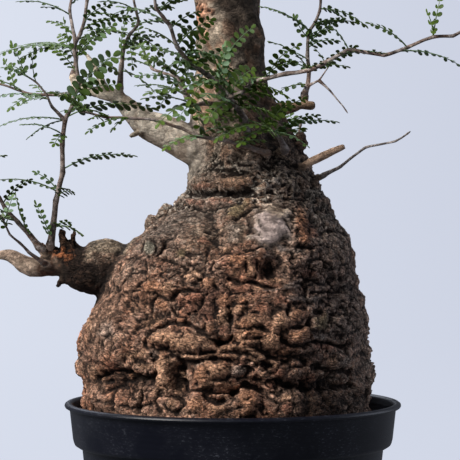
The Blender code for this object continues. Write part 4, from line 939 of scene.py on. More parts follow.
# Cracks: half width, depth, route
CRACKS = [
    (1.7, 3.6, [(-43.6, 183.5), (-41.1, 190.0), (-37.0, 192.6), (-31.4, 195.0), (-24.9, 195.6),
                (-17.3, 192.0), (-12.3, 187.6), (-7.8, 185.1)]),
    (2.0, 5.2, [(-7.8, 185.1), (-3.4, 186.1), (-0.4, 188.6)]),
    (1.2, 3.2, [(-0.4, 188.6), (-1.4, 193.5), (-0.3, 198.9), (-2.6, 203.8)]),
    (0.8, 1.4, [(-2.9, 206.8), (-0.4, 211.7)]),
    (0.8, 1.6, [(-14.9, 201.8), (-13.2, 196.9), (-14.8, 192.5)]),
    (0.6, 1.0, [(-8.4, 202.3), (-6.9, 197.0), (-8.8, 194.0)]),
    (0.9, 2.6, [(-41.7, 197.9), (-41.3, 204.4), (-37.8, 208.5)]),
    (0.7, 2.0, [(-35.2, 211.0), (-39.9, 208.9)]),
    (1.2, 3.2, [(-30.6, 207.1), (-26.5, 210.6), (-21.5, 211.2), (-15.4, 210.2)]),
    (1.1, 2.6, [(-31.0, 202.6), (-29.5, 199.2), (-24.4, 197.8)]),
    (0.9, 2.6, [(-22.4, 199.8), (-17.4, 201.3), (-14.9, 205.3)]),
    (0.9, 2.2, [(-21.3, 179.6), (-14.3, 180.4), (-7.8, 181.4)]),
    (1.0, 2.4, [(-26.8, 176.6), (-18.3, 175.6), (-9.8, 177.3), (-1.4, 177.0)]),
    (2.2, 4.4, [(-25.3, 173.1), (-24.8, 168.1), (-23.3, 163.2)]),
    (1.5, 3.4, [(-40.5, 175.7), (-38.4, 170.7), (-41.5, 166.1)]),
    (1.7, 3.6, [(-73.0, 164.5), (-63.8, 169.5), (-55.1, 169.9), (-47.7, 166.8), (-41.5, 166.6)]),
    (1.0, 2.0, [(-68.3, 169.3), (-70.6, 165.9)]),
    (1.5, 2.4, [(-71.2, 162.2), (-62.7, 164.7), (-54.0, 164.4), (-46.7, 166.3)]),
    (1.1, 2.4, [(-68.4, 158.4), (-61.6, 162.2), (-51.9, 161.5)]),
    (1.2, 2.4, [(-23.2, 161.7), (-14.8, 161.4), (-8.3, 160.5), (-0.4, 161.0)]),
    (1.8, 3.6, [(-0.4, 161.5), (3.6, 163.4), (8.6, 163.8), (14.5, 161.3)]),
    (1.2, 2.6, [(14.6, 192.9), (18.6, 190.9), (22.1, 188.8)]),
    (1.3, 4.2, [(23.6, 187.3), (29.2, 183.5), (35.8, 183.3), (39.4, 185.4), (47.3, 184.8), (57.5, 181.6)]),
    (1.2, 3.0, [(29.2, 192.6), (33.8, 192.0), (38.0, 194.4)]),
    (1.3, 3.0, [(38.5, 198.8), (38.4, 191.4), (38.9, 187.4)]),
    (1.6, 3.0, [(14.5, 174.7), (22.6, 174.0), (28.6, 175.8)]),
    (1.0, 2.6, [(17.6, 178.5), (23.6, 176.4), (29.1, 174.8)]),
    (2.3, 3.8, [(28.6, 172.8), (38.8, 173.4), (49.3, 171.3), (60.2, 168.9)]),
    (2.6, 4.0, [(28.6, 164.4), (38.8, 161.5), (51.9, 161.6), (61.2, 162.8)]),
    (1.8, 3.0, [(11.1, 166.8), (18.5, 167.6), (26.1, 164.9), (33.7, 162.7)]),
    (1.7, 3.4, [(-4.3, 159.0), (-7.3, 155.6), (-13.3, 158.5)]),
    (1.1, 2.6, [(-26.2, 158.2), (-24.2, 154.8), (-28.3, 150.6)]),
    (1.3, 2.4, [(-36.4, 160.8), (-38.4, 155.7), (-36.4, 150.8)]),
    (1.0, 2.6, [(-71.0, 161.0), (-70.0, 152.0)]), (1.0, 2.6, [(-63.5, 159.0), (-62.0, 150.0)]),
    (1.2, 3.0, [(-56.0, 162.0), (-54.0, 151.0)]), (1.2, 3.0, [(-47.5, 164.0), (-48.5, 150.0)]),
    (1.1, 1.8, [(-74.6, 154.5), (-62.8, 153.3), (-52.0, 151.8), (-41.5, 154.6)]),
    (1.0, 1.8, [(-22.6, 260.9), (-17.7, 259.6), (-12.4, 260.9), (-8.2, 262.6)]),
    (0.9, 1.5, [(-5.2, 259.8), (-0.4, 261.6), (7.9, 259.3), (15.1, 260.6)]),
    (0.7, 2.2, [(-21.0, 266.7), (-19.3, 262.8), (-17.7, 259.6)]),
    (0.6, 1.6, [(-20.7, 253.8), (-16.5, 253.2), (-15.0, 256.4)]),
    (0.5, 1.0, [(-20.7, 253.8), (-18.7, 256.4)]),
    (1.2, 2.2, [(-14.7, 241.8), (-12.7, 241.8)]),
    (0.6, 1.6, [(-11.1, 239.8), (-7.5, 242.3), (-5.5, 240.3)]),
    (0.9, 2.0, [(-5.5, 245.4), (-2.9, 248.0), (2.7, 248.5), (7.3, 251.1), (13.0, 253.7)]),
    (0.8, 0.8, [(6.8, 248.0), (8.8, 242.8), (7.2, 237.7)]),
    (0.7, 1.6, [(-42.3, 235.6), (-40.1, 234.1), (-38.9, 231.0)]),
    (0.9, 2.8, [(-36.6, 226.7), (-31.4, 226.0), (-25.7, 223.6), (-23.6, 222.6)]),
    (0.8, 1.8, [(-23.6, 222.6), (-26.1, 218.1), (-28.1, 214.6)]),
    (0.6, 1.6, [(-49.3, 221.7), (-47.7, 224.3)]),
    (0.6, 1.4, [(-54.9, 213.0), (-53.9, 215.5)]),
    (0.6, 1.6, [(-46.8, 212.2), (-44.7, 214.8)]),
    (0.7, 1.6, [(-52.6, 210.6), (-46.2, 210.3)]),
    (0.6, 1.2, [(-24.6, 217.1), (-19.0, 218.1), (-16.0, 216.2)]),
    (1.2, 2.4, [(-9.4, 214.2), (-7.4, 211.7)]),
    (0.8, 2.0, [(-13.1, 233.7), (-13.5, 229.2), (-14.0, 225.1)]),
    (0.8, 1.6, [(-7.4, 218.2), (-11.5, 221.7), (-9.5, 225.7)]),
    (1.0, 3.0, [(-2.4, 217.4), (3.6, 215.2), (9.7, 215.9), (14.7, 213.7), (20.8, 212.6)]),
    (0.7, 1.6, [(-6.9, 228.2), (-3.4, 230.7), (0.6, 228.7)]),
    (0.7, 1.8, [(2.7, 228.7), (6.7, 226.7), (6.7, 220.7)]),
    (0.7, 1.8, [(11.7, 227.7), (12.2, 222.7), (11.2, 217.7)]),
    (0.8, 1.8, [(6.7, 230.7), (11.8, 232.2), (14.8, 233.2)]),
    (1.1, 2.2, [(32.3, 233.1), (38.6, 232.6), (45.0, 234.1)]),
    (0.8, 1.8, [(30.1, 227.6), (36.8, 225.5), (44.8, 227.4)]),
    (0.8, 1.8, [(34.2, 220.0), (37.2, 216.9), (43.5, 216.3)]),
    (0.5, 1.0, [(27.3, 243.3), (29.3, 239.8), (27.7, 237.7)]),
    (0.6, 1.0, [(25.8, 245.9), (29.4, 244.9)]),
    (0.6, 1.0, [(12.9, 245.9), (14.4, 241.3), (12.8, 237.7)]),
    (1.0, 2.0, [(38.1, 200.8), (44.3, 200.6), (51.8, 198.8)]),
    (0.7, 1.4, [(40.3, 210.3), (49.9, 210.5), (58.2, 208.6)]),
    (0.7, 1.4, [(29.9, 205.0), (31.9, 202.0), (36.0, 201.9)]),
    (0.9, 1.6, [(24.8, 206.6), (27.8, 202.6), (26.7, 198.6)]),
    (0.7, 1.4, [(6.6, 205.3), (7.6, 198.9), (6.6, 194.0)]),
    (0.6, 1.2, [(1.6, 204.8), (11.6, 204.8), (18.7, 203.7)]),
    (0.6, 1.2, [(1.6, 198.9), (6.6, 199.4), (12.6, 200.3)]),
    (0.7, 1.6, [(1.6, 192.5), (8.6, 192.5), (14.6, 193.9)]),
    (0.6, 1.2, [(45.9, 226.4), (50.1, 222.2), (58.7, 224.0)]),
    (0.9, 1.6, [(46.4, 240.8), (54.6, 242.9), (59.2, 238.6)]),
    (0.7, 1.6, [(19.3, 261.0), (26.6, 257.4), (35.1, 257.5), (43.8, 256.5)]),
    (0.9, 1.8, [(44.6, 250.2), (41.6, 255.4), (39.5, 259.6)]),
]
# Broad swells and hollows: middle, half width, half height, turn in degrees, height
SWELLS = [
    (-64.2, 194.5, 13.4, 13.4, 0, 3.5), (-31.3, 238.7, 16.5, 11.3, 30, 2.5),
    (-10.6, 240.8, 4.6, 13.3, 10, -2.5), (-42.1, 214.3, 20.3, 7.6, -8, 3.0),
    (-10.4, 206.8, 11.0, 10.0, 0, 2.5), (-42.7, 195.4, 10.1, 3.0, 30, -3.0),
    (-7.3, 186.6, 7.0, 3.5, -20, -3.0), (-25.3, 185.5, 18.0, 5.5, 0, 3.5),
    (-61.6, 166.3, 17.5, 8.0, 0, -4.6), (-36.4, 169.3, 5.5, 11.0, 0, 3.0),
    (-26.8, 167.1, 4.0, 9.0, 0, -4.0), (-11.3, 170.8, 10.9, 7.4, 0, 3.5), (22.6, 192.8, 16.0, 9.0, 0, 3.5),
    (2.1, 222.7, 10.1, 7.0, 0, 1.5), (33.7, 177.6, 22.6, 3.5, -10, -3.0),
    (54.7, 175.0, 12.2, 5.1, -10, 2.5), (41.4, 164.8, 16.1, 4.5, 0, -4.0), (8.1, 156.0, 7.9, 6.0, 0, 3.5),
    (-4.3, 157.5, 4.5, 5.9, 0, -2.0), (19.8, 225.1, 7.6, 7.1, 0, -2.0), (19.0, 242.8, 12.3, 11.2, 0, 2.0),
    (50.3, 227.3, 11.4, 9.3, 0, 2.0), (60.8, 200.3, 9.3, 14.5, 0, 2.0), (-10.3, 267.9, 17.8, 4.2, 0, 2.0),
    (-3.5, 261.0, 20.8, 2.1, 3, -2.5), (-70.3, 153.8, 13.5, 4.1, 0, 2.0),
]
# Washes of colour over broad places: tone, middle, half width, half height, turn, amount. The shade washes
# are painted shade in the hollows and along the foot by the pot's rim
WASHES = [
    ("ash", -35.3, 244.4, 24.0, 15.6, 35, 0.45), ("moss", -15.1, 236.7, 12.2, 11.2, 0, 0.45),
    ("rust", -42.4, 225.4, 17.4, 3.6, -8, 0.45), ("brick", -11.4, 206.8, 18.0, 10.0, -10, 0.75),
    ("tan", -68.5, 190.2, 13.4, 15.5, 0, 0.35), ("shade", -61.6, 165.3, 18.0, 7.6, 0, 0.85),
    ("shade", -26.8, 166.1, 4.5, 8.0, 0, 0.80), ("shade", 41.4, 163.8, 18.1, 5.0, 0, 0.70),
    ("dim", 58.1, 205.6, 15.5, 31.0, 0, 0.45), ("lilac", 19.6, 242.8, 11.2, 12.3, 0, 0.85),
    ("tan", -25.3, 185.5, 18.0, 5.0, 0, 0.55), ("tan", -36.4, 169.0, 5.5, 10.0, 0, 0.50),
    ("tan", -11.3, 170.8, 11.0, 8.0, 0, 0.50), ("orange", 20.6, 193.8, 17.0, 10.0, 0, 0.40),
    ("orange", -45.0, 208.0, 18.0, 8.0, -8, 0.40), ("tan", 4.0, 182.5, 14.0, 2.6, -8, 0.50),
    ("moss", 1.5, 240.8, 6.6, 8.1, 0, 0.6), ("bone", 27.1, 255.8, 10.4, 4.7, 0, 0.40),
    ("rustpatch", 35.7, 243.9, 5.7, 11.3, 0, 0.70), ("shade", -1.4, 194.5, 4.0, 11.0, 0, 0.50),
    ("shade", 47.0, 153.0, 27.0, 8.0, 0, 0.85), ("shade", -60.0, 150.5, 16.0, 5.0, 0, 0.45),
]
KNOT = (19.8, 222.6)            # dark knot hole right of the middle
SCAR = (-43.4, 232.7)           # round pruning scar on the left shoulder
# Tones of the front's marks, each with how strongly it covers
TONES = {
    "tan": (linear("#aa8468"), 0.65), "orange": (linear("#9f7052"), 0.65), "rust": (linear("#815341"), 0.65),
    "rustpatch": (linear("#80543a"), 0.8), "ash": (linear("#7d746c"), 0.65),
    "lilac": (linear("#7a6c68"), 0.8), "bone": (linear("#917f6b"), 0.7), "olive": (linear("#7d6e50"), 0.75),
    "plain": (linear("#7d6353"), 0.4), "dim": (linear("#6a5b54"), 0.5), "brick": (linear("#624337"), 0.7),
    "moss": (linear("#625d4c"), 0.6), "shade": (linear("#2c1f18"), 0.7),
}
SMOOTH_TONES = ("lilac",)
# Colours of the bark's larger zones, all round, among them painted shade on the trunk, the knuckle, the upper
# limb and the cut branch's tip
SKIN = {name: linear(code) for name, code in {
    "old scar": "#868172", "neck": "#82776a", "neck patches": "#7a5740", "neck net": "#b9b1a4",
    "trunk": "#a69581", "trunk shade": "#372c24", "trunk patches": "#8a5a3c", "trunk top": "#2a211b",
    "rust spot": "#7d4a2e", "left branch": "#857866", "knuckle_dark_and_shade": "#1d140f", "right stub": "#54402f",
    "right burl": "#3f3027", "cut branch": "#8f7a69", "cut branch patches": "#4a352a",
    "cut branch tip dark and shade": "#38261d", "torn face": "#7d4a2d", "splinters": "#5b4435", "broken stub": "#8a705c",
    "upper limb patches": "#6c5a4b", "upper limb shade": "#5e4636",
}.items()}
# Heights in millimetres between which a zone of the wood starts or ends
SOIL_LINE = (124.0, 138.0)
SHOULDER_FOOT = (214.0, 234.0)
NECK_FOOT = (247.0, 259.0)
NECK_TOP = (276.0, 292.0)
TRUNK_FOOT = (264.0, 288.0)
FRONT_TOP = (268.0, 276.0)
# The bark's noises: swells, lobes, plates and flakes with their lean and the gap to the next, crumble,
# wrinkles, wide zones, grit, wandering edges, dents and folds
NOISES = ("swell", "lobe", "plate", "plate_lean", "plate_gap", "flake", "flake_lean", "flake_gap", "crumble",
          "wrinkle", "zone", "grit", "wander", "dents", "fold")


def chip(spot):
    """The chip of cracked bark at a spot: its level, its lean and the gap to the next chip."""
    gaps, centres = noise.voronoi(spot)
    level = noise.noise(centres[0] * 9.7)
    lean = (spot - centres[0]).dot(noise.noise_vector(centres[0] * 6.1))
    return level, lean, gaps[1] - gaps[0]


def squeezed(spot, wide, high):
    """A spot in a pattern that is wide across and high up."""
    return Vector((spot.x / wide, spot.y / wide, spot.z / high))


def swirl(places):
    """The bark's noises at each place, by their names."""
    rows = np.empty((len(places), len(NOISES)))
    for number, (x, y, z) in enumerate(places):
        spot = Vector((x, y, z))
        bent = spot + noise.noise_vector(spot / 15.0) * 5.0 + noise.noise_vector(spot / 5.0) * 1.8
        lobe = noise.voronoi(squeezed(bent, 21.0, 13.0))[0]
        rows[number] = (
            noise.noise(spot / 20.0) * 5.4 + noise.noise(spot / 11.0 + Vector((7.0, 3.0, 1.0))) * 2.6,
            1.0 - 1.5 * lobe[0] ** 2,
            *chip(squeezed(bent, 8.5, 5.0)),
            *chip(squeezed(bent, 4.0, 2.4)),
            noise.turbulence(squeezed(bent, 9.0, 5.0), 4, True, amplitude_scale=0.65, frequency_scale=2.2),
            1.0 - 2.6 * abs(noise.noise(squeezed(bent, 14.0, 3.0))),
            noise.noise(spot / 27.0 + Vector((2.0, 9.0, 4.0))),
            noise.noise(spot / 2.3), noise.noise(spot / 5.5 + Vector((5.0, 1.0, 7.0))),
            noise.noise(Vector((x / 8.0, y / 8.0, z / 34.0))),
            1.0 - 2.4 * abs(noise.noise(Vector((bent.x / 36.0 + 3.0, bent.y / 36.0, bent.z / 12.0)))),
        )
    return SimpleNamespace(**dict(zip(NOISES, rows.T)))


def oval(places, x, z, wide, high, turn):
    """Places measured from an oval's middle in its own halves, across and up."""
    angle = math.radians(turn)
    dx, dz = places[:, 0] - x, places[:, 2] - z
    return ((dx * math.cos(angle) + dz * math.sin(angle)) / wide,
            (dz * math.cos(angle) - dx * math.sin(angle)) / high)


def lay(tint, colour, amount):
    """Lay a colour over the tint by an amount at each place."""
    tint[:, :3] += (np.array(colour[:3]) - tint[:, :3]) * amount[:, None]
    tint[:, 3] = np.maximum(tint[:, 3], amount)


def find_zones(places, normals, at):
    """Mark the wood's zones at each place: its limbs, neck, trunk, front and shoulder, and ragged edges."""
    at.x, at.y, at.height = places.T
    at.pale = near_limb(places, PALE_LIMBS, 1.7)
    at.rough_limb = near_limb(places, ROUGH_LIMBS, 1.6)
    at.neck = step_up(*NECK_FOOT, at.height + 9.0 * at.wander + 10.0 * at.zone)
    at.neck *= 1.0 - step_up(*NECK_TOP, at.height)
    at.neck *= 1.0 - at.pale
    at.trunk = step_up(*TRUNK_FOOT, at.height)
    at.front = step_up(0.10, 0.42, -normals[:, 1]) * step_up(-2.0, -12.0, at.y)
    at.front *= 1.0 - step_up(*FRONT_TOP, at.height)
    at.shoulder = step_up(*SHOULDER_FOOT, at.height + 12.0 * at.wander)
    at.shoulder *= 1.0 - 0.7 * step_up(-8.0, 16.0, at.x) * at.front
    at.ragged = 0.30 * at.wander + 0.16 * at.grit + 0.45 * (at.crumble - 0.5)


def mark_front(places, at, tint):
    """Tint the front's marks, washes of painted shade among them; returns how far they stand out, their rims
    and their smooth skin.
    """
    lift, rim, smooth_skin = np.zeros((3, len(places)))
    for tone, *spot, amount in WASHES:
        u, v = oval(places, *spot)
        wash = 1.0 - step_up(0.45, 1.35, np.hypot(u, v) + 1.3 * at.ragged)
        lay(tint, TONES[tone][0], wash * at.front * amount)
        if tone in SMOOTH_TONES:
            smooth_skin = np.maximum(smooth_skin, wash * at.front)
    for tone, x, z, wide, high, turn, rise in LUMPS:
        u, v = oval(places, x, z, wide * 1.25, high * 1.25, turn)
        torn = 0.3 if tone in SMOOTH_TONES else 1.1
        r = (np.abs(u) ** 2.2 + np.abs(v) ** 2.2) ** (1 / 2.2) + at.ragged * torn
        dome = min(0.7 * rise, rise - 0.6) * np.clip(1.0 - r * r, 0.0, 1.0) ** 1.1
        colour, amount = TONES[tone]
        lay(tint, colour, (dome >= lift) * (1.0 - step_up(0.45, 1.05, r)) * at.front * amount)
        lift = np.maximum(lift, dome)
        rim = np.maximum(rim, np.exp(-((r - 1.02) / 0.14) ** 2) * min(rise, 2.0) * 0.3)
        if tone in SMOOTH_TONES:
            smooth_skin = np.maximum(smooth_skin, (1.0 - step_up(0.7, 1.1, r)) * at.front)
    for tone, width, rise, line in RIDGES:
        mark = np.clip(near_line(places, line, width * 1.6) - 0.6 * np.abs(at.ragged), 0.0, 1.0)
        colour, amount = TONES[tone]
        lay(tint, colour, step_up(0.1, 0.6, mark) * at.front * amount)
        lift = np.maximum(lift, rise * mark ** 0.8)
    rim *= (1.0 - step_up(0.1, 0.9, lift)) * np.clip(0.5 + 1.5 * at.wander, 0.0, 1.0)
    for *spot, rise in SWELLS:
        u, v = oval(places, *spot)
        lift += 1.2 * rise * np.exp(-(u * u + v * v) * (1.0 + 1.2 * at.ragged))
    return lift, rim, smooth_skin


def cork(places, normals, at, lift, rim, smooth_skin):
    """The bark's swells, lobes, plates, flakes and wrinkles: how far they stand out, and their clefts."""
    rugged = np.clip(0.95 + 1.2 * at.zone, 0.45, 1.5) * (1.0 - 0.5 * at.shoulder)
    coarse = (1.0 - 0.8 * at.trunk) * (1.0 - 0.85 * at.pale) * (1.0 - 0.8 * at.rough_limb)
    coarse = np.maximum(coarse, 0.9 * near_limb(places, ("right_burl",), 1.4))
    coarse *= 1.0 - 0.88 * smooth_skin
    torn = step_up(-0.24, 0.12, at.wander + 0.4 * at.zone)
    plate_edge = 1.0 - step_up(0.0, 0.10, at.plate_gap)
    flake_edge = 1.0 - step_up(0.0, 0.10, at.flake_gap)
    creased = (1.0 - at.front) + 1.2 * at.front * step_up(0.0, 34.0, at.x)

    relief = at.swell * (0.45 + 0.55 * np.abs(normals[:, 1]))
    for zone, share in ((at.trunk, 0.5), (at.pale, 0.7), (at.front, 0.45), (at.rough_limb, 0.6)):
        relief *= 1.0 - share * zone
    relief += coarse * (1.0 - 0.92 * at.front) * (3.0 * at.lobe - 1.6)
    relief += (coarse * (1.0 - 0.85 * at.front) * (1.0 - 0.5 * at.shoulder)
               * (2.4 * np.clip(at.fold, 0.0, 1.0) - 1.2))
    relief += coarse * rugged * (1.2 * at.plate + 0.9 * at.plate_lean - 0.7 * torn * plate_edge)
    relief += coarse * rugged * (0.8 * at.flake + 0.9 * at.flake_lean - 0.5 * torn * flake_edge)
    relief += coarse * rugged * 0.6 * (at.crumble - 0.5)
    relief += near_limb(places, SPLINTERS, 2.0) * 0.9 * at.grit
    relief += (1.0 - at.pale) * (0.4 * at.neck + 0.30 * coarse * creased) * at.wrinkle
    relief += (at.neck * (0.5 * plate_edge + 0.8 * (1.0 - step_up(0.0, 0.22, at.flake_gap)))
               + at.trunk * (1.0 - 0.6 * at.pale) * (1.7 * at.dents + 0.3 * at.plate))
    relief += at.grit * (0.30 - 0.14 * at.pale) + at.rough_limb * 0.3 * at.wrinkle
    relief += at.front * (lift - rim)
    relief -= 0.6 * coarse
    # Clefts in the folds, at the edges of the torn plates and flakes and round the lumps' rims: the material
    # paints shade in them
    cleft = coarse * 0.5 * (1.0 - at.front) * step_up(0.12, -0.15, at.fold)
    cleft += (coarse * rugged * torn * (0.80 * plate_edge * (1.0 - at.neck) + 0.30 * flake_edge)
              + at.front * rim * 0.25)
    return relief, cleft


def cut_bark(places, at, relief, cleft, tint):
    """Cut the cracks, the knot hole and the old scar; returns the relief and the clefts with them."""
    # Cracks and the knot hole add to the clefts, where the material paints shade
    for width, depth, line in CRACKS:
        varied = width * 1.3 * np.clip(0.4 + 0.8 * at.crumble + 1.6 * at.wander, 0.1, 2.0)
        mark = near_line(places, line, varied) * at.front
        relief -= mark * depth * 0.8
        cleft += mark ** 1.3
    knot = np.hypot(at.x - KNOT[0], at.height - KNOT[1]) / 5.0 + 0.5 * at.wander + 0.3 * at.grit
    relief += at.front * (np.exp(-((knot - 1.6) / 0.4) ** 2) * 0.9 - np.exp(-(knot ** 2) * 0.9) * 5.0)
    cleft += at.front * np.exp(-(knot ** 2) * 0.9)
    scar = np.hypot(at.x - SCAR[0], at.height - SCAR[1]) / 3.7 + 0.15 * at.wander + (1.0 - at.front) * 9.0
    on_scar = 1.0 - step_up(0.85, 1.05, scar)
    scar_rim = np.exp(-((scar - 1.15) / 0.18) ** 2)
    relief = relief * (1.0 - 0.85 * on_scar) - on_scar * 0.3 - scar_rim * 0.9
    relief += np.exp(-((scar - 1.6) / 0.3) ** 2) * 0.7
    # Painted shade in the scar's rim on its lower right, the side away from the light
    scar_shade_side = step_up(-3.0, 1.5, at.x - SCAR[0] + 0.5 * (at.height - SCAR[1]))
    cleft = cleft * (1.0 - on_scar) + scar_rim * 0.9 * scar_shade_side
    lay(tint, SKIN["old scar"], on_scar * 0.9)
    return relief, cleft


def tint_trunk(at, lift, relief, tint):
    """Lay the neck's and the trunk's colours over the tint, with painted shade on the trunk's right side, and
    roughen the trunk's rust spot.
    """
    upper_trunk = step_up(312.0, 350.0, at.height + 16.0 * at.zone)
    shady = step_up(-6.0, 6.0, at.x + 7.0 * at.wander + 0.5 * np.clip(at.height - 338.0, -6.0, 30.0))
    low = 1.0 - step_up(0.5, 2.0, lift)
    net = at.neck * (1.0 - step_up(0.04, 0.20, at.flake_gap)) * low
    net *= (1.0 - step_up(16.0, 34.0, at.x)) * step_up(12.0, -8.0, at.y)
    lay(tint, SKIN["neck"], at.neck * low * 0.6)
    lay(tint, SKIN["neck patches"], at.neck * step_up(0.05, 0.25, at.wander) * 0.6)
    lay(tint, SKIN["neck net"], net * 0.85)
    lay(tint, SKIN["trunk"], at.trunk * (1.0 - at.pale) * 0.75)
    # Painted shade on the trunk's right side, and a darker brown higher up the trunk
    lay(tint, SKIN["trunk shade"], at.trunk * np.maximum(0.55 * upper_trunk, shady) * (1.0 - at.pale) * 0.92)
    lay(tint, SKIN["trunk patches"],
        at.trunk * (1.0 - at.pale) * step_up(0.2, 0.34, at.wander + 0.6 * at.dents) * (0.6 - 0.4 * shady))
    lay(tint, SKIN["trunk top"],
        at.trunk * step_up(350.0, 358.0, at.height + 6.0 * at.wander) * step_up(-13.0, -7.0, at.x)
        * step_up(2.0, -6.0, at.y) * step_up(380.0, 368.0, at.height) * 0.8)
    rust_spot = np.hypot((at.x + 17.0) / 5.0, (at.height - 357.5) / 6.0) + 0.8 * at.wander + 0.5 * at.grit
    rust_spot = (1.0 - step_up(0.7, 1.1, rust_spot)) * step_up(4.0, -4.0, at.y)
    lay(tint, SKIN["rust spot"], at.trunk * rust_spot * 0.8)
    relief += at.trunk * rust_spot * (1.2 * at.grit + 0.8 * at.flake)


def tint_limbs(places, normals, at, relief, tint):
    """Lay the limbs' and the stubs' colours over the tint, with painted shade on the knuckle, under the upper
    limb and under the cut branch's tip, and roughen the left branch's torn face.
    """
    # Dark bark with painted shade on the left branch's knuckle: its lower part and left end, most on the
    # front
    knuckle_dark_and_shade = np.maximum(step_up(229.0, 223.0, at.height + 6.0 * at.wander), step_up(-76.0, -80.0, at.x))
    knuckle_dark_and_shade = at.rough_limb * knuckle_dark_and_shade
    lay(tint, SKIN["left branch"], at.rough_limb * (1.0 - knuckle_dark_and_shade) * 0.8)
    lay(tint, SKIN["knuckle_dark_and_shade"], knuckle_dark_and_shade * (0.55 + 0.42 * step_up(4.0, -4.0, at.y)))
    lay(tint, SKIN["right stub"], near_limb(places, ("right_stub",), 1.5) * 0.9)
    lay(tint, SKIN["right burl"], near_limb(places, ("right_burl",), 1.5) * step_up(22.0, 28.0, at.x) * 0.85)
    cut_branch = near_limb(places, ("left_branch_cut",), 1.6) * step_up(-90.0, -96.0, at.x)
    lay(tint, SKIN["cut branch"], cut_branch * 0.8)
    lay(tint, SKIN["cut branch patches"], cut_branch * step_up(0.02, 0.3, at.wander + 0.5 * at.grit) * 0.7)
    face = np.clip(1.0 - np.hypot((at.x + 91.0) / 8.0, (at.height - 228.0) / 5.5) ** 2, 0.0, 1.0)
    face *= at.rough_limb * step_up(2.0, -4.0, at.y)
    relief += face * (1.0 * at.flake + 1.6 * at.grit)
    lay(tint, SKIN["torn face"], np.sqrt(face) * step_up(-0.05, 0.35, at.grit + 0.5 * at.flake) * 0.75)
    lay(tint, SKIN["splinters"], near_limb(places, SPLINTERS, 1.6) * step_up(232.0, 236.0, at.height) * 0.8)
    lay(tint, SKIN["broken stub"], near_limb(places, ("right_broken_stub",), 1.6) * 0.85)
    upper_limb = near_limb(places, ("upper_left_limb", "limb_cut_stub", "limb_broken_stub"), 1.5)
    upper_limb *= step_up(-8.0, -26.0, at.x + 8.0 * at.wander)
    lay(tint, SKIN["upper limb patches"], upper_limb * step_up(0.04, 0.26, at.wander + 0.5 * at.dents) * 0.65)
    lay(tint, SKIN["upper limb shade"], upper_limb * step_up(-0.2, -0.8, normals[:, 2]) * 0.5)
    # Dark bark with painted shade under the cut branch near its tip
    lay(tint, SKIN["cut branch tip dark and shade"],
        cut_branch * step_up(-109.0, -103.0, at.x) * step_up(227.0, 221.0, at.height + 6 * at.wander))


def carve(places, normals):
    """The bark at each place: how far it stands out in millimetres, its clefts, tint and smooth skin."""
    at = swirl(places)
    find_zones(places, normals, at)
    tint = np.zeros((len(places), 4))
    lift, rim, smooth_skin = mark_front(places, at, tint)
    relief, cleft = cork(places, normals, at, lift, rim, smooth_skin)
    relief, cleft = cut_bark(places, at, relief, cleft, tint)
    tint_trunk(at, lift, relief, tint)
    tint_limbs(places, normals, at, relief, tint)
    above_soil = step_up(*SOIL_LINE, at.height)
    return relief * above_soil, np.clip(cleft, 0.0, 1.0) * above_soil, tint, smooth_skin


def smoothed(values, edges, count, rounds):
    """Give each vertex the mean of its neighbours, round after round."""
    for _ in range(rounds):
        total = np.zeros_like(values)
        np.add.at(total, edges[:, 0], values[edges[:, 1]])
        np.add.at(total, edges[:, 1], values[edges[:, 0]])
        values = total / count[:, None]
    return values


def paint(mesh, name, values):
    """Store one number for each vertex."""
    layer = mesh.attributes.new(name, "FLOAT", "POINT")
    layer.data.foreach_set("value", np.asarray(values, dtype=np.float32))


def read_points(mesh, kind):
    """A mesh's vertex places, or its vertex normals, as an array."""
    values = np.empty(len(mesh.vertices) * 3)
    if kind == "places":
        mesh.vertices.foreach_get("co", values)
    else:
        mesh.vertex_normals.foreach_get("vector", values)
    return values.reshape(-1, 3)


def drop_crumbs(wood):
    """Keep only what hangs together with the wood's highest point."""
    pick(wood)
    bpy.ops.object.mode_set(mode="EDIT")
    bpy.ops.mesh.select_all(action="DESELECT")
    bpy.ops.object.mode_set(mode="OBJECT")
    top = int(read_points(wood.data, "places")[:, 2].argmax())
    wood.data.vertices[top].select = True
    bpy.ops.object.mode_set(mode="EDIT")
    bpy.ops.mesh.select_linked()
    bpy.ops.mesh.select_all(action="INVERT")
    bpy.ops.mesh.delete(type="VERT")
    bpy.ops.object.mode_set(mode="OBJECT")


def find_hollows(mesh, carved):
    """How hollow the carved wood is at each vertex: 0.5 where even, less on lumps and more in hollows."""
    normals = read_points(mesh, "normals")
    edges = np.empty(len(mesh.edges) * 2, dtype=np.int32)
    mesh.edges.foreach_get("vertices", edges)
    edges = edges.reshape(-1, 2)
    count = np.bincount(edges.ravel(), minlength=len(carved)).astype(float)
    soft = smoothed(carved, edges, count, SMALL_ROUNDS)
    softer = smoothed(soft, edges, count, BROAD_ROUNDS)
    hollow = ((soft - carved) * normals).sum(axis=1)
    broad = ((softer - carved) * normals).sum(axis=1)
    return np.clip(0.5 + hollow * 0.55 + broad * 0.20, 0.0, 1.0)


def find_worn(places, smooth_skin):
    """How pale and smooth, and how grey, the bark is at each place."""
    x, height = places[:, 0], places[:, 2]
    pale = near_limb(places, PALE_LIMBS, 1.8)
    pale *= step_up(-4.0, -24.0, x) + step_up(30.0, 40.0, x)
    pale = np.maximum(pale, 0.75 * step_up(284.0, 312.0, height))
    pale = np.clip(np.maximum(pale * 0.9, smooth_skin * 0.75), 0.0, 1.0)
    grey = 0.12 + 0.4 * step_up(222.0, 262.0, height) + 0.2 * step_up(300.0, 345.0, height)
    grey += 0.45 * step_up(15.0, 62.0, x) * (1.0 - step_up(262.0, 290.0, height))
    grey += 0.25 * step_up(205.0, 225.0, height) * step_up(0.0, -30.0, x)
    return pale, np.clip(grey, 0.0, 1.0)


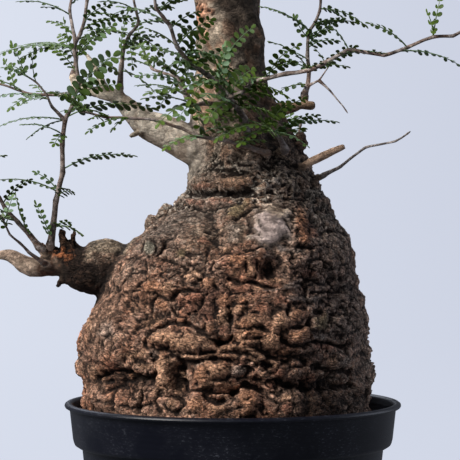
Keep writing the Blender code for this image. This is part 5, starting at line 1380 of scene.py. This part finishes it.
def make_wood():
    """Carve the bark into the blank and thin it; each point left is marked as its nearest carved one."""
    wood = wood_blank()
    mesh = wood.data
    places = read_points(mesh, "places") / MM
    normals = read_points(mesh, "normals")
    relief, cleft, tint, smooth_skin = carve(places, normals)
    carved = places + normals * relief[:, None]
    mesh.vertices.foreach_set("co", (carved * MM).ravel())
    mesh.update()
    pale, grey = find_worn(places, smooth_skin)
    marks = {"cavity": find_hollows(mesh, carved), "cleft": cleft, "pale": pale, "grey": grey}
    lookup = kdtree.KDTree(len(carved))
    for number, place in enumerate(carved):
        lookup.insert(place, number)
    lookup.balance()
    triangles = sum(len(face.vertices) - 2 for face in mesh.polygons)
    thin = wood.modifiers.new("thin", "DECIMATE")
    thin.ratio = min(1.0, WOOD_TRIANGLES / triangles)
    apply_all(wood)
    drop_crumbs(wood)
    mesh = wood.data
    nearest = [lookup.find(place)[1] for place in read_points(mesh, "places") / MM]
    for name, values in marks.items():
        paint(mesh, name, values[nearest])
    layer = mesh.attributes.new("tint", "FLOAT_COLOR", "POINT")
    layer.data.foreach_set("color", tint[nearest].astype(np.float32).ravel())
    mesh.shade_smooth()
    return settle(wood, "corky_wood", bark_material("cork bark", CORK, 0.9, 1.2, True), "corky_bark", "trunk")


# Twigs and leaves

def twig_radius(thick, t):
    """A twig thins fast above its foot and then slowly to its tip."""
    return thick * (0.70 + 0.25 * math.exp(-t / 0.06) - 0.40 * t ** 0.7)


def make_twigs(name, shoot, material, rng):
    """The woody part of a shoot: smooth twigs with swollen knees and a bud at each tip."""
    parts = []
    for number, twig in enumerate(shoot.twigs):
        thick = shoot.thick * (1.0 if number == 0 else 0.55)
        last = len(twig) - 1
        radii = [twig_radius(thick, place / last) for place in range(last + 1)]
        route = smooth_route(twig, radii, 1.6 * MM, 0.4)
        if number == 0:
            inward = (shoot.root - twig[0]).normalized()
            route.insert(0, (twig[0] + inward * 4.0 * MM, radii[0] * 1.1))
        shaped = []
        for step, (at, radius) in enumerate(route):
            knee = min((at - point).length for point in twig)
            radius *= 1.0 + 0.20 * math.exp(-(knee / (1.6 * MM)) ** 2)
            wobble = noise.noise_vector(at / (7.0 * MM)) * 0.35 * MM
            shaped.append((at + wobble * min(step / 4, 1.0), radius))
        end, tip = shaped[-1]
        onward = (end - shaped[-2][0]).normalized()
        shaped += [(end + onward * 0.8 * MM, tip * 1.15), (end + onward * 2.2 * MM, tip * 0.8),
                   (end + onward * 3.0 * MM, tip * 0.15)]
        parts.append(limb_curve(name + "_twig", shaped, 2))
    twigs = parts[0]
    if len(parts) > 1:
        pick(*parts)
        bpy.ops.object.join()
    mesh = twigs.data
    bumps = np.array([noise.noise(Vector(place) / (2.4 * MM)) for place in read_points(mesh, "places")])
    paint(mesh, "cavity", 0.46 - 0.25 * bumps)
    for mark in ("cleft", "pale"):
        paint(mesh, mark, np.zeros(len(bumps)))
    paint(mesh, "grey", np.clip((0.9 if name == "shoot_right_bare" else 0.3) + bumps, 0.0, 1.0))
    mesh.shade_smooth()
    return settle(twigs, name.replace("shoot", "twigs"), material, "twig_bark", name)


def leaflet_template():
    """One leaflet, 1 long: an egg shape widest near its tip, a little cupped, thin but closed."""
    deselect()
    bpy.ops.mesh.primitive_circle_add(vertices=10, radius=1.0, fill_type="TRIFAN")
    leaf = bpy.context.view_layer.objects.active
    for vertex in leaf.data.vertices:
        across, along = vertex.co.y, vertex.co.x
        t = 0.5 + 0.5 * along
        half = 0.31 * across * (0.72 + 0.42 * t) if abs(along) < 0.99 else 0.0
        edge = abs(across) + (1.0 if abs(along) > 0.99 else 0.0)
        vertex.co = (t + 0.06 * (1.0 - t), half, 0.06 * edge - 0.07 * t * t)
    thicken = leaf.modifiers.new("thickness", "SOLIDIFY")
    thicken.thickness = 0.045
    thicken.offset = 0.0
    apply_all(leaf)
    corners = np.array([tuple(vertex.co) for vertex in leaf.data.vertices])
    faces = [tuple(face.vertices) for face in leaf.data.polygons]
    bpy.data.objects.remove(leaf)
    return corners, faces


class Sprays:
    """Collects leaflets and ribs of a shoot as one mesh."""

    def __init__(self, template):
        self.corners, self.faces = template
        self.points, self.polygons, self.tones, self.fresh = [], [], [], []

    def leaflet(self, foot, out, up, size, tone, fresh):
        """Add one leaflet from its foot, pointing out, its upper face towards up."""
        side = up.cross(out).normalized()
        top = out.cross(side).normalized()
        axes = np.array([tuple(out), tuple(side), tuple(top)])
        start = len(self.points)
        self.points.extend(map(tuple, self.corners * size @ axes + np.array(foot)))
        self.polygons.extend(tuple(start + corner for corner in face) for face in self.faces)
        self.tones.extend([tone] * len(self.corners))
        self.fresh.extend([fresh] * len(self.corners))

    def rib(self, route, tone, fresh):
        """Add a slim four-sided rib along a route of (place, radius)."""
        start = len(self.points)
        side = Vector((0.0, 0.0, 1.0))
        last = len(route) - 1
        for step, (at, radius) in enumerate(route):
            axis = (route[min(step + 1, last)][0] - route[max(step - 1, 0)][0]).normalized()
            side = (side - axis * side.dot(axis)).normalized()
            other = axis.cross(side)
            for turn in range(4):
                angle = math.tau * turn / 4
                self.points.append(tuple(at + (side * math.cos(angle) + other * math.sin(angle)) * radius))
        for step in range(last):
            for turn in range(4):
                a, b = start + 4 * step + turn, start + 4 * step + (turn + 1) % 4
                self.polygons.append((a, b, b + 4, a + 4))
        self.polygons.append(tuple(start + turn for turn in (3, 2, 1, 0)))
        self.polygons.append(tuple(start + 4 * last + turn for turn in (0, 1, 2, 3)))
        self.tones.extend([tone] * 4 * len(route))
        self.fresh.extend([fresh] * 4 * len(route))


LEAFLET_STEP = 3.2              # millimetres between pairs of leaflets
LEAFLET_SIZE = 4.05             # millimetres
RIB_STEPS = 9


def grow_frond(sprays, base, reach, roll, rng, size=1.0):
    """A feather leaf: an arched rib with pairs of blunt leaflets and one at its tip."""
    along = reach.normalized()
    reference = Vector((0.0, 0.0, 1.0)) if abs(along.z) < 0.8 else Vector((0.0, -1.0, 0.0))
    side = along.cross(reference).normalized()
    lift = side.cross(along)
    turn = math.radians(roll)
    across = side * math.cos(turn) + lift * math.sin(turn)
    normal = across.cross(along)
    length = reach.length
    pairs = max(3, round(length / MM * 0.84 / (LEAFLET_STEP * (0.5 + 0.5 * size))))
    tone = rng.uniform(0.05, 0.75)
    fresh = max(0.0, rng.uniform(-0.5, 0.35))
    sway = side * rng.uniform(-0.06, 0.06) * length

    def rib_point(t):
        return base + reach * t + lift * (0.36 * length * t * (1.0 - t)) + sway * math.sin(math.pi * t)

    route = [(rib_point(step / RIB_STEPS), (0.42 - 0.24 * step / RIB_STEPS) * MM)
             for step in range(RIB_STEPS + 1)]
    sprays.rib(route, tone * 0.5 + 0.5, fresh + 0.15)
    for pair in range(pairs):
        t = 0.16 + 0.80 * pair / max(pairs - 1, 1)
        foot = rib_point(t)
        ahead = (rib_point(min(t + 0.05, 1.0)) - rib_point(t - 0.05)).normalized()
        grown = size * LEAFLET_SIZE * MM * (0.72 + 0.36 * math.sin(math.pi * (0.15 + 0.75 * t)))
        young = fresh + 0.45 * max(0.0, t - 0.8)
        for sign in (1.0, -1.0):
            shift = rng.uniform(-0.12, 0.12)
            out = (across * sign * (1.0 + shift) + ahead * (0.42 + rng.uniform(-0.1, 0.2))
                   + normal * rng.uniform(-0.32, 0.12)).normalized()
            up = (normal + across * sign * rng.uniform(-0.35, 0.25)).normalized()
            own = grown * rng.uniform(0.85, 1.12)
            sprays.leaflet(foot, out, up, own, tone + rng.uniform(-0.12, 0.12), young)
    end = rib_point(1.0)
    ahead = (end - rib_point(0.94)).normalized()
    sprays.leaflet(end, ahead, normal, size * LEAFLET_SIZE * MM * 0.9, tone, fresh + 0.2)


def make_leaves(name, shoot, template, material, rng):
    """All the leaves of one shoot: its solid's fronds, the fuller ones and smaller mates at their nodes."""
    sprays = Sprays(template)
    for twig, place, reach, roll in shoot.fronds:
        grow_frond(sprays, between(shoot.twigs[twig], place), mm(*reach), roll, rng, rng.uniform(0.85, 1.1))
    for twig, place, reach, size, roll in FULLER.get(name, []):
        grow_frond(sprays, between(shoot.twigs[twig], place), mm(*reach), roll, rng, size)
    for twig, place, reach, roll in shoot.fronds:
        for mate in range(1 if name in FULLER else 3):
            if rng.random() < 0.75:
                base = between(shoot.twigs[twig], max(place - 0.3 * mate, 0.3))
                spread = mm(*reach).length * rng.uniform(0.4, 0.65)
                spray = Vector((rng.gauss(0, 0.6), rng.gauss(0, 0.5), rng.gauss(0.1, 0.5)))
                way = (Vector(reach).normalized() + spray).normalized()
                grow_frond(sprays, base, way * spread, roll + rng.uniform(-25, 25), rng, 0.85)
    if not sprays.points:
        return None
    mesh = bpy.data.meshes.new(name)
    mesh.from_pydata(sprays.points, [], sprays.polygons)
    paint(mesh, "tone", sprays.tones)
    paint(mesh, "fresh", sprays.fresh)
    leaves = new_object(name, mesh)
    mesh.shade_smooth()
    mesh.set_sharp_from_angle(angle=math.radians(50.0))
    return settle(leaves, name.replace("shoot", "leaves"), material, "leaf", name)


# Floor, light and camera

FLOOR_RADIUS = 2.4


def make_stage():
    """A plain pale floor that rises into a plain backdrop that glows on its own, with painted light brighter
    on the left than on the right; it throws no light on the plant.
    """
    deselect()
    bpy.ops.mesh.primitive_circle_add(vertices=128, radius=FLOOR_RADIUS, fill_type="NGON")
    sweep = bpy.context.view_layer.objects.active
    sweep.name = "floor"
    bpy.ops.object.mode_set(mode="EDIT")
    bpy.ops.mesh.select_all(action="SELECT")
    for step in range(8):
        grow = 1.0 + 0.02 * (8 - step)
        bpy.ops.mesh.extrude_region_move(TRANSFORM_OT_translate={"value": (0.0, 0.0, 0.02 + 0.05 * step)})
        bpy.ops.transform.resize(value=(grow, grow, 1.0))
    bpy.ops.mesh.extrude_region_move(TRANSFORM_OT_translate={"value": (0.0, 0.0, 2.0)})
    bpy.ops.mesh.delete(type="ONLY_FACE")
    bpy.ops.mesh.select_all(action="SELECT")
    bpy.ops.mesh.normals_make_consistent(inside=True)
    bpy.ops.object.mode_set(mode="OBJECT")
    sweep.data.shade_smooth()
    sweep.visible_diffuse = False
    sweep.visible_glossy = False
    matt, tree, shader, place = new_material("matt pale paper", 0.95)
    apart = add(tree, "VectorMath", {"operation": "LENGTH"}, {0: place}).outputs["Value"]
    far = add(tree, "MapRange", {"interpolation_type": "SMOOTHSTEP"},
              {"Value": apart, "From Min": 0.22, "From Max": 0.85}).outputs[0]
    near = add(tree, "Math", {"operation": "SUBTRACT"}, {0: 1.0, 1: far}).outputs[0]
    grey = add(tree, "Mix", BLEND, {0: near, 6: (0.0, 0.0, 0.0, 1.0), 7: linear("#d9dfec")}).outputs[2]
    tree.links.new(grey, shader.inputs["Base Color"])
    # Painted light on the backdrop: its glow is brighter on the left, towards the window, than on the right
    across = add(tree, "SeparateXYZ", {}, {0: place}).outputs["X"]
    across = add(tree, "MapRange", {}, {"Value": across, "From Min": -0.8, "From Max": 0.8}).outputs[0]
    wash = add(tree, "ValToRGB", {}, {"Fac": across}, [(0.0, linear("#dce2f0")), (1.0, linear("#cbd1e1"))])
    tree.links.new(wash.outputs["Color"], shader.inputs["Emission Color"])
    tree.links.new(far, shader.inputs["Emission Strength"])
    shader.inputs["Specular IOR Level"].default_value = 0.0
    sweep.data.materials.append(matt)


def area_light(name, place, aim, size, power, colour):
    """A square soft light at a place, facing an aim."""
    lamp = bpy.data.lights.new(name, "AREA")
    lamp.shape = "SQUARE"
    lamp.size = size
    lamp.energy = power
    lamp.color = linear(colour)[:3]
    made = new_object(name, lamp)
    made.location = place
    made.rotation_euler = (Vector(aim) - Vector(place)).to_track_quat("-Z", "Y").to_euler()


def make_light():
    """Soft window light from the front left and above, a weak one from behind, a faint glow from the right
    and a low even sky."""
    world = bpy.data.worlds.new("sky")
    world.use_nodes = True
    sky = world.node_tree.nodes["Background"]
    sky.inputs["Color"].default_value = linear("#dfe6f5")
    sky.inputs["Strength"].default_value = 0.18
    bpy.context.scene.world = world
    area_light("window", (-1.25, -0.75, 1.30), (0.0, 0.0, 0.22), 0.8, 40.0, "#fffcf8")
    area_light("back_window", (-0.6, 1.5, 1.5), (0.0, 0.0, 0.25), 1.2, 12.0, "#eaf1ff")
    area_light("side_glow", (1.4, 0.5, 0.6), (0.0, 0.0, 0.25), 1.0, 5.0, "#e4ecff")


CAMERA_BACK = 960.0             # millimetres in front of the pot's axis
CAMERA_HEIGHT = 241.8
CAMERA_SIDE = -1.5
SENSOR = 36.0
FOCAL_PIXELS = 1788.0           # focal length in pixels of the 460-pixel frame
FRAME_PIXELS = 460.0


def make_camera():
    """A level long lens, its height and distance read from the ellipse of the pot's rim."""
    lens = bpy.data.cameras.new("camera")
    lens.sensor_width = SENSOR
    lens.lens = SENSOR * FOCAL_PIXELS / FRAME_PIXELS
    lens.clip_end = 20.0
    camera = new_object("camera", lens)
    camera.location = mm(CAMERA_SIDE, -CAMERA_BACK, CAMERA_HEIGHT)
    camera.rotation_euler = (math.radians(90.0), 0.0, 0.0)
    bpy.context.scene.camera = camera


def main():
    make_camera()
    make_light()
    make_stage()
    bpy.context.scene.view_settings.view_transform = "Standard"
    make_pot()
    soil = frame["nodes"]["soil"]
    soil.data.materials.clear()
    soil.data.materials.append(soil_material("potting mix", linear("#1d1612"), linear("#4f3f33"), 2.4))
    noise.seed_set(NOISE_SEED)
    make_grains(random.Random(GRIT_SEED))
    make_wood()
    twig_bark = bark_material("twig bark", TWIG, 0.7, 0.3, False)
    leaf = leaf_material()
    template = leaflet_template()
    for number, (name, shoot) in enumerate(SHOOTS.items()):
        make_twigs(name, shoot, twig_bark, random.Random(TWIG_SEED + number))
        make_leaves(name, shoot, template, leaf, random.Random(LEAF_SEED + number))


main()
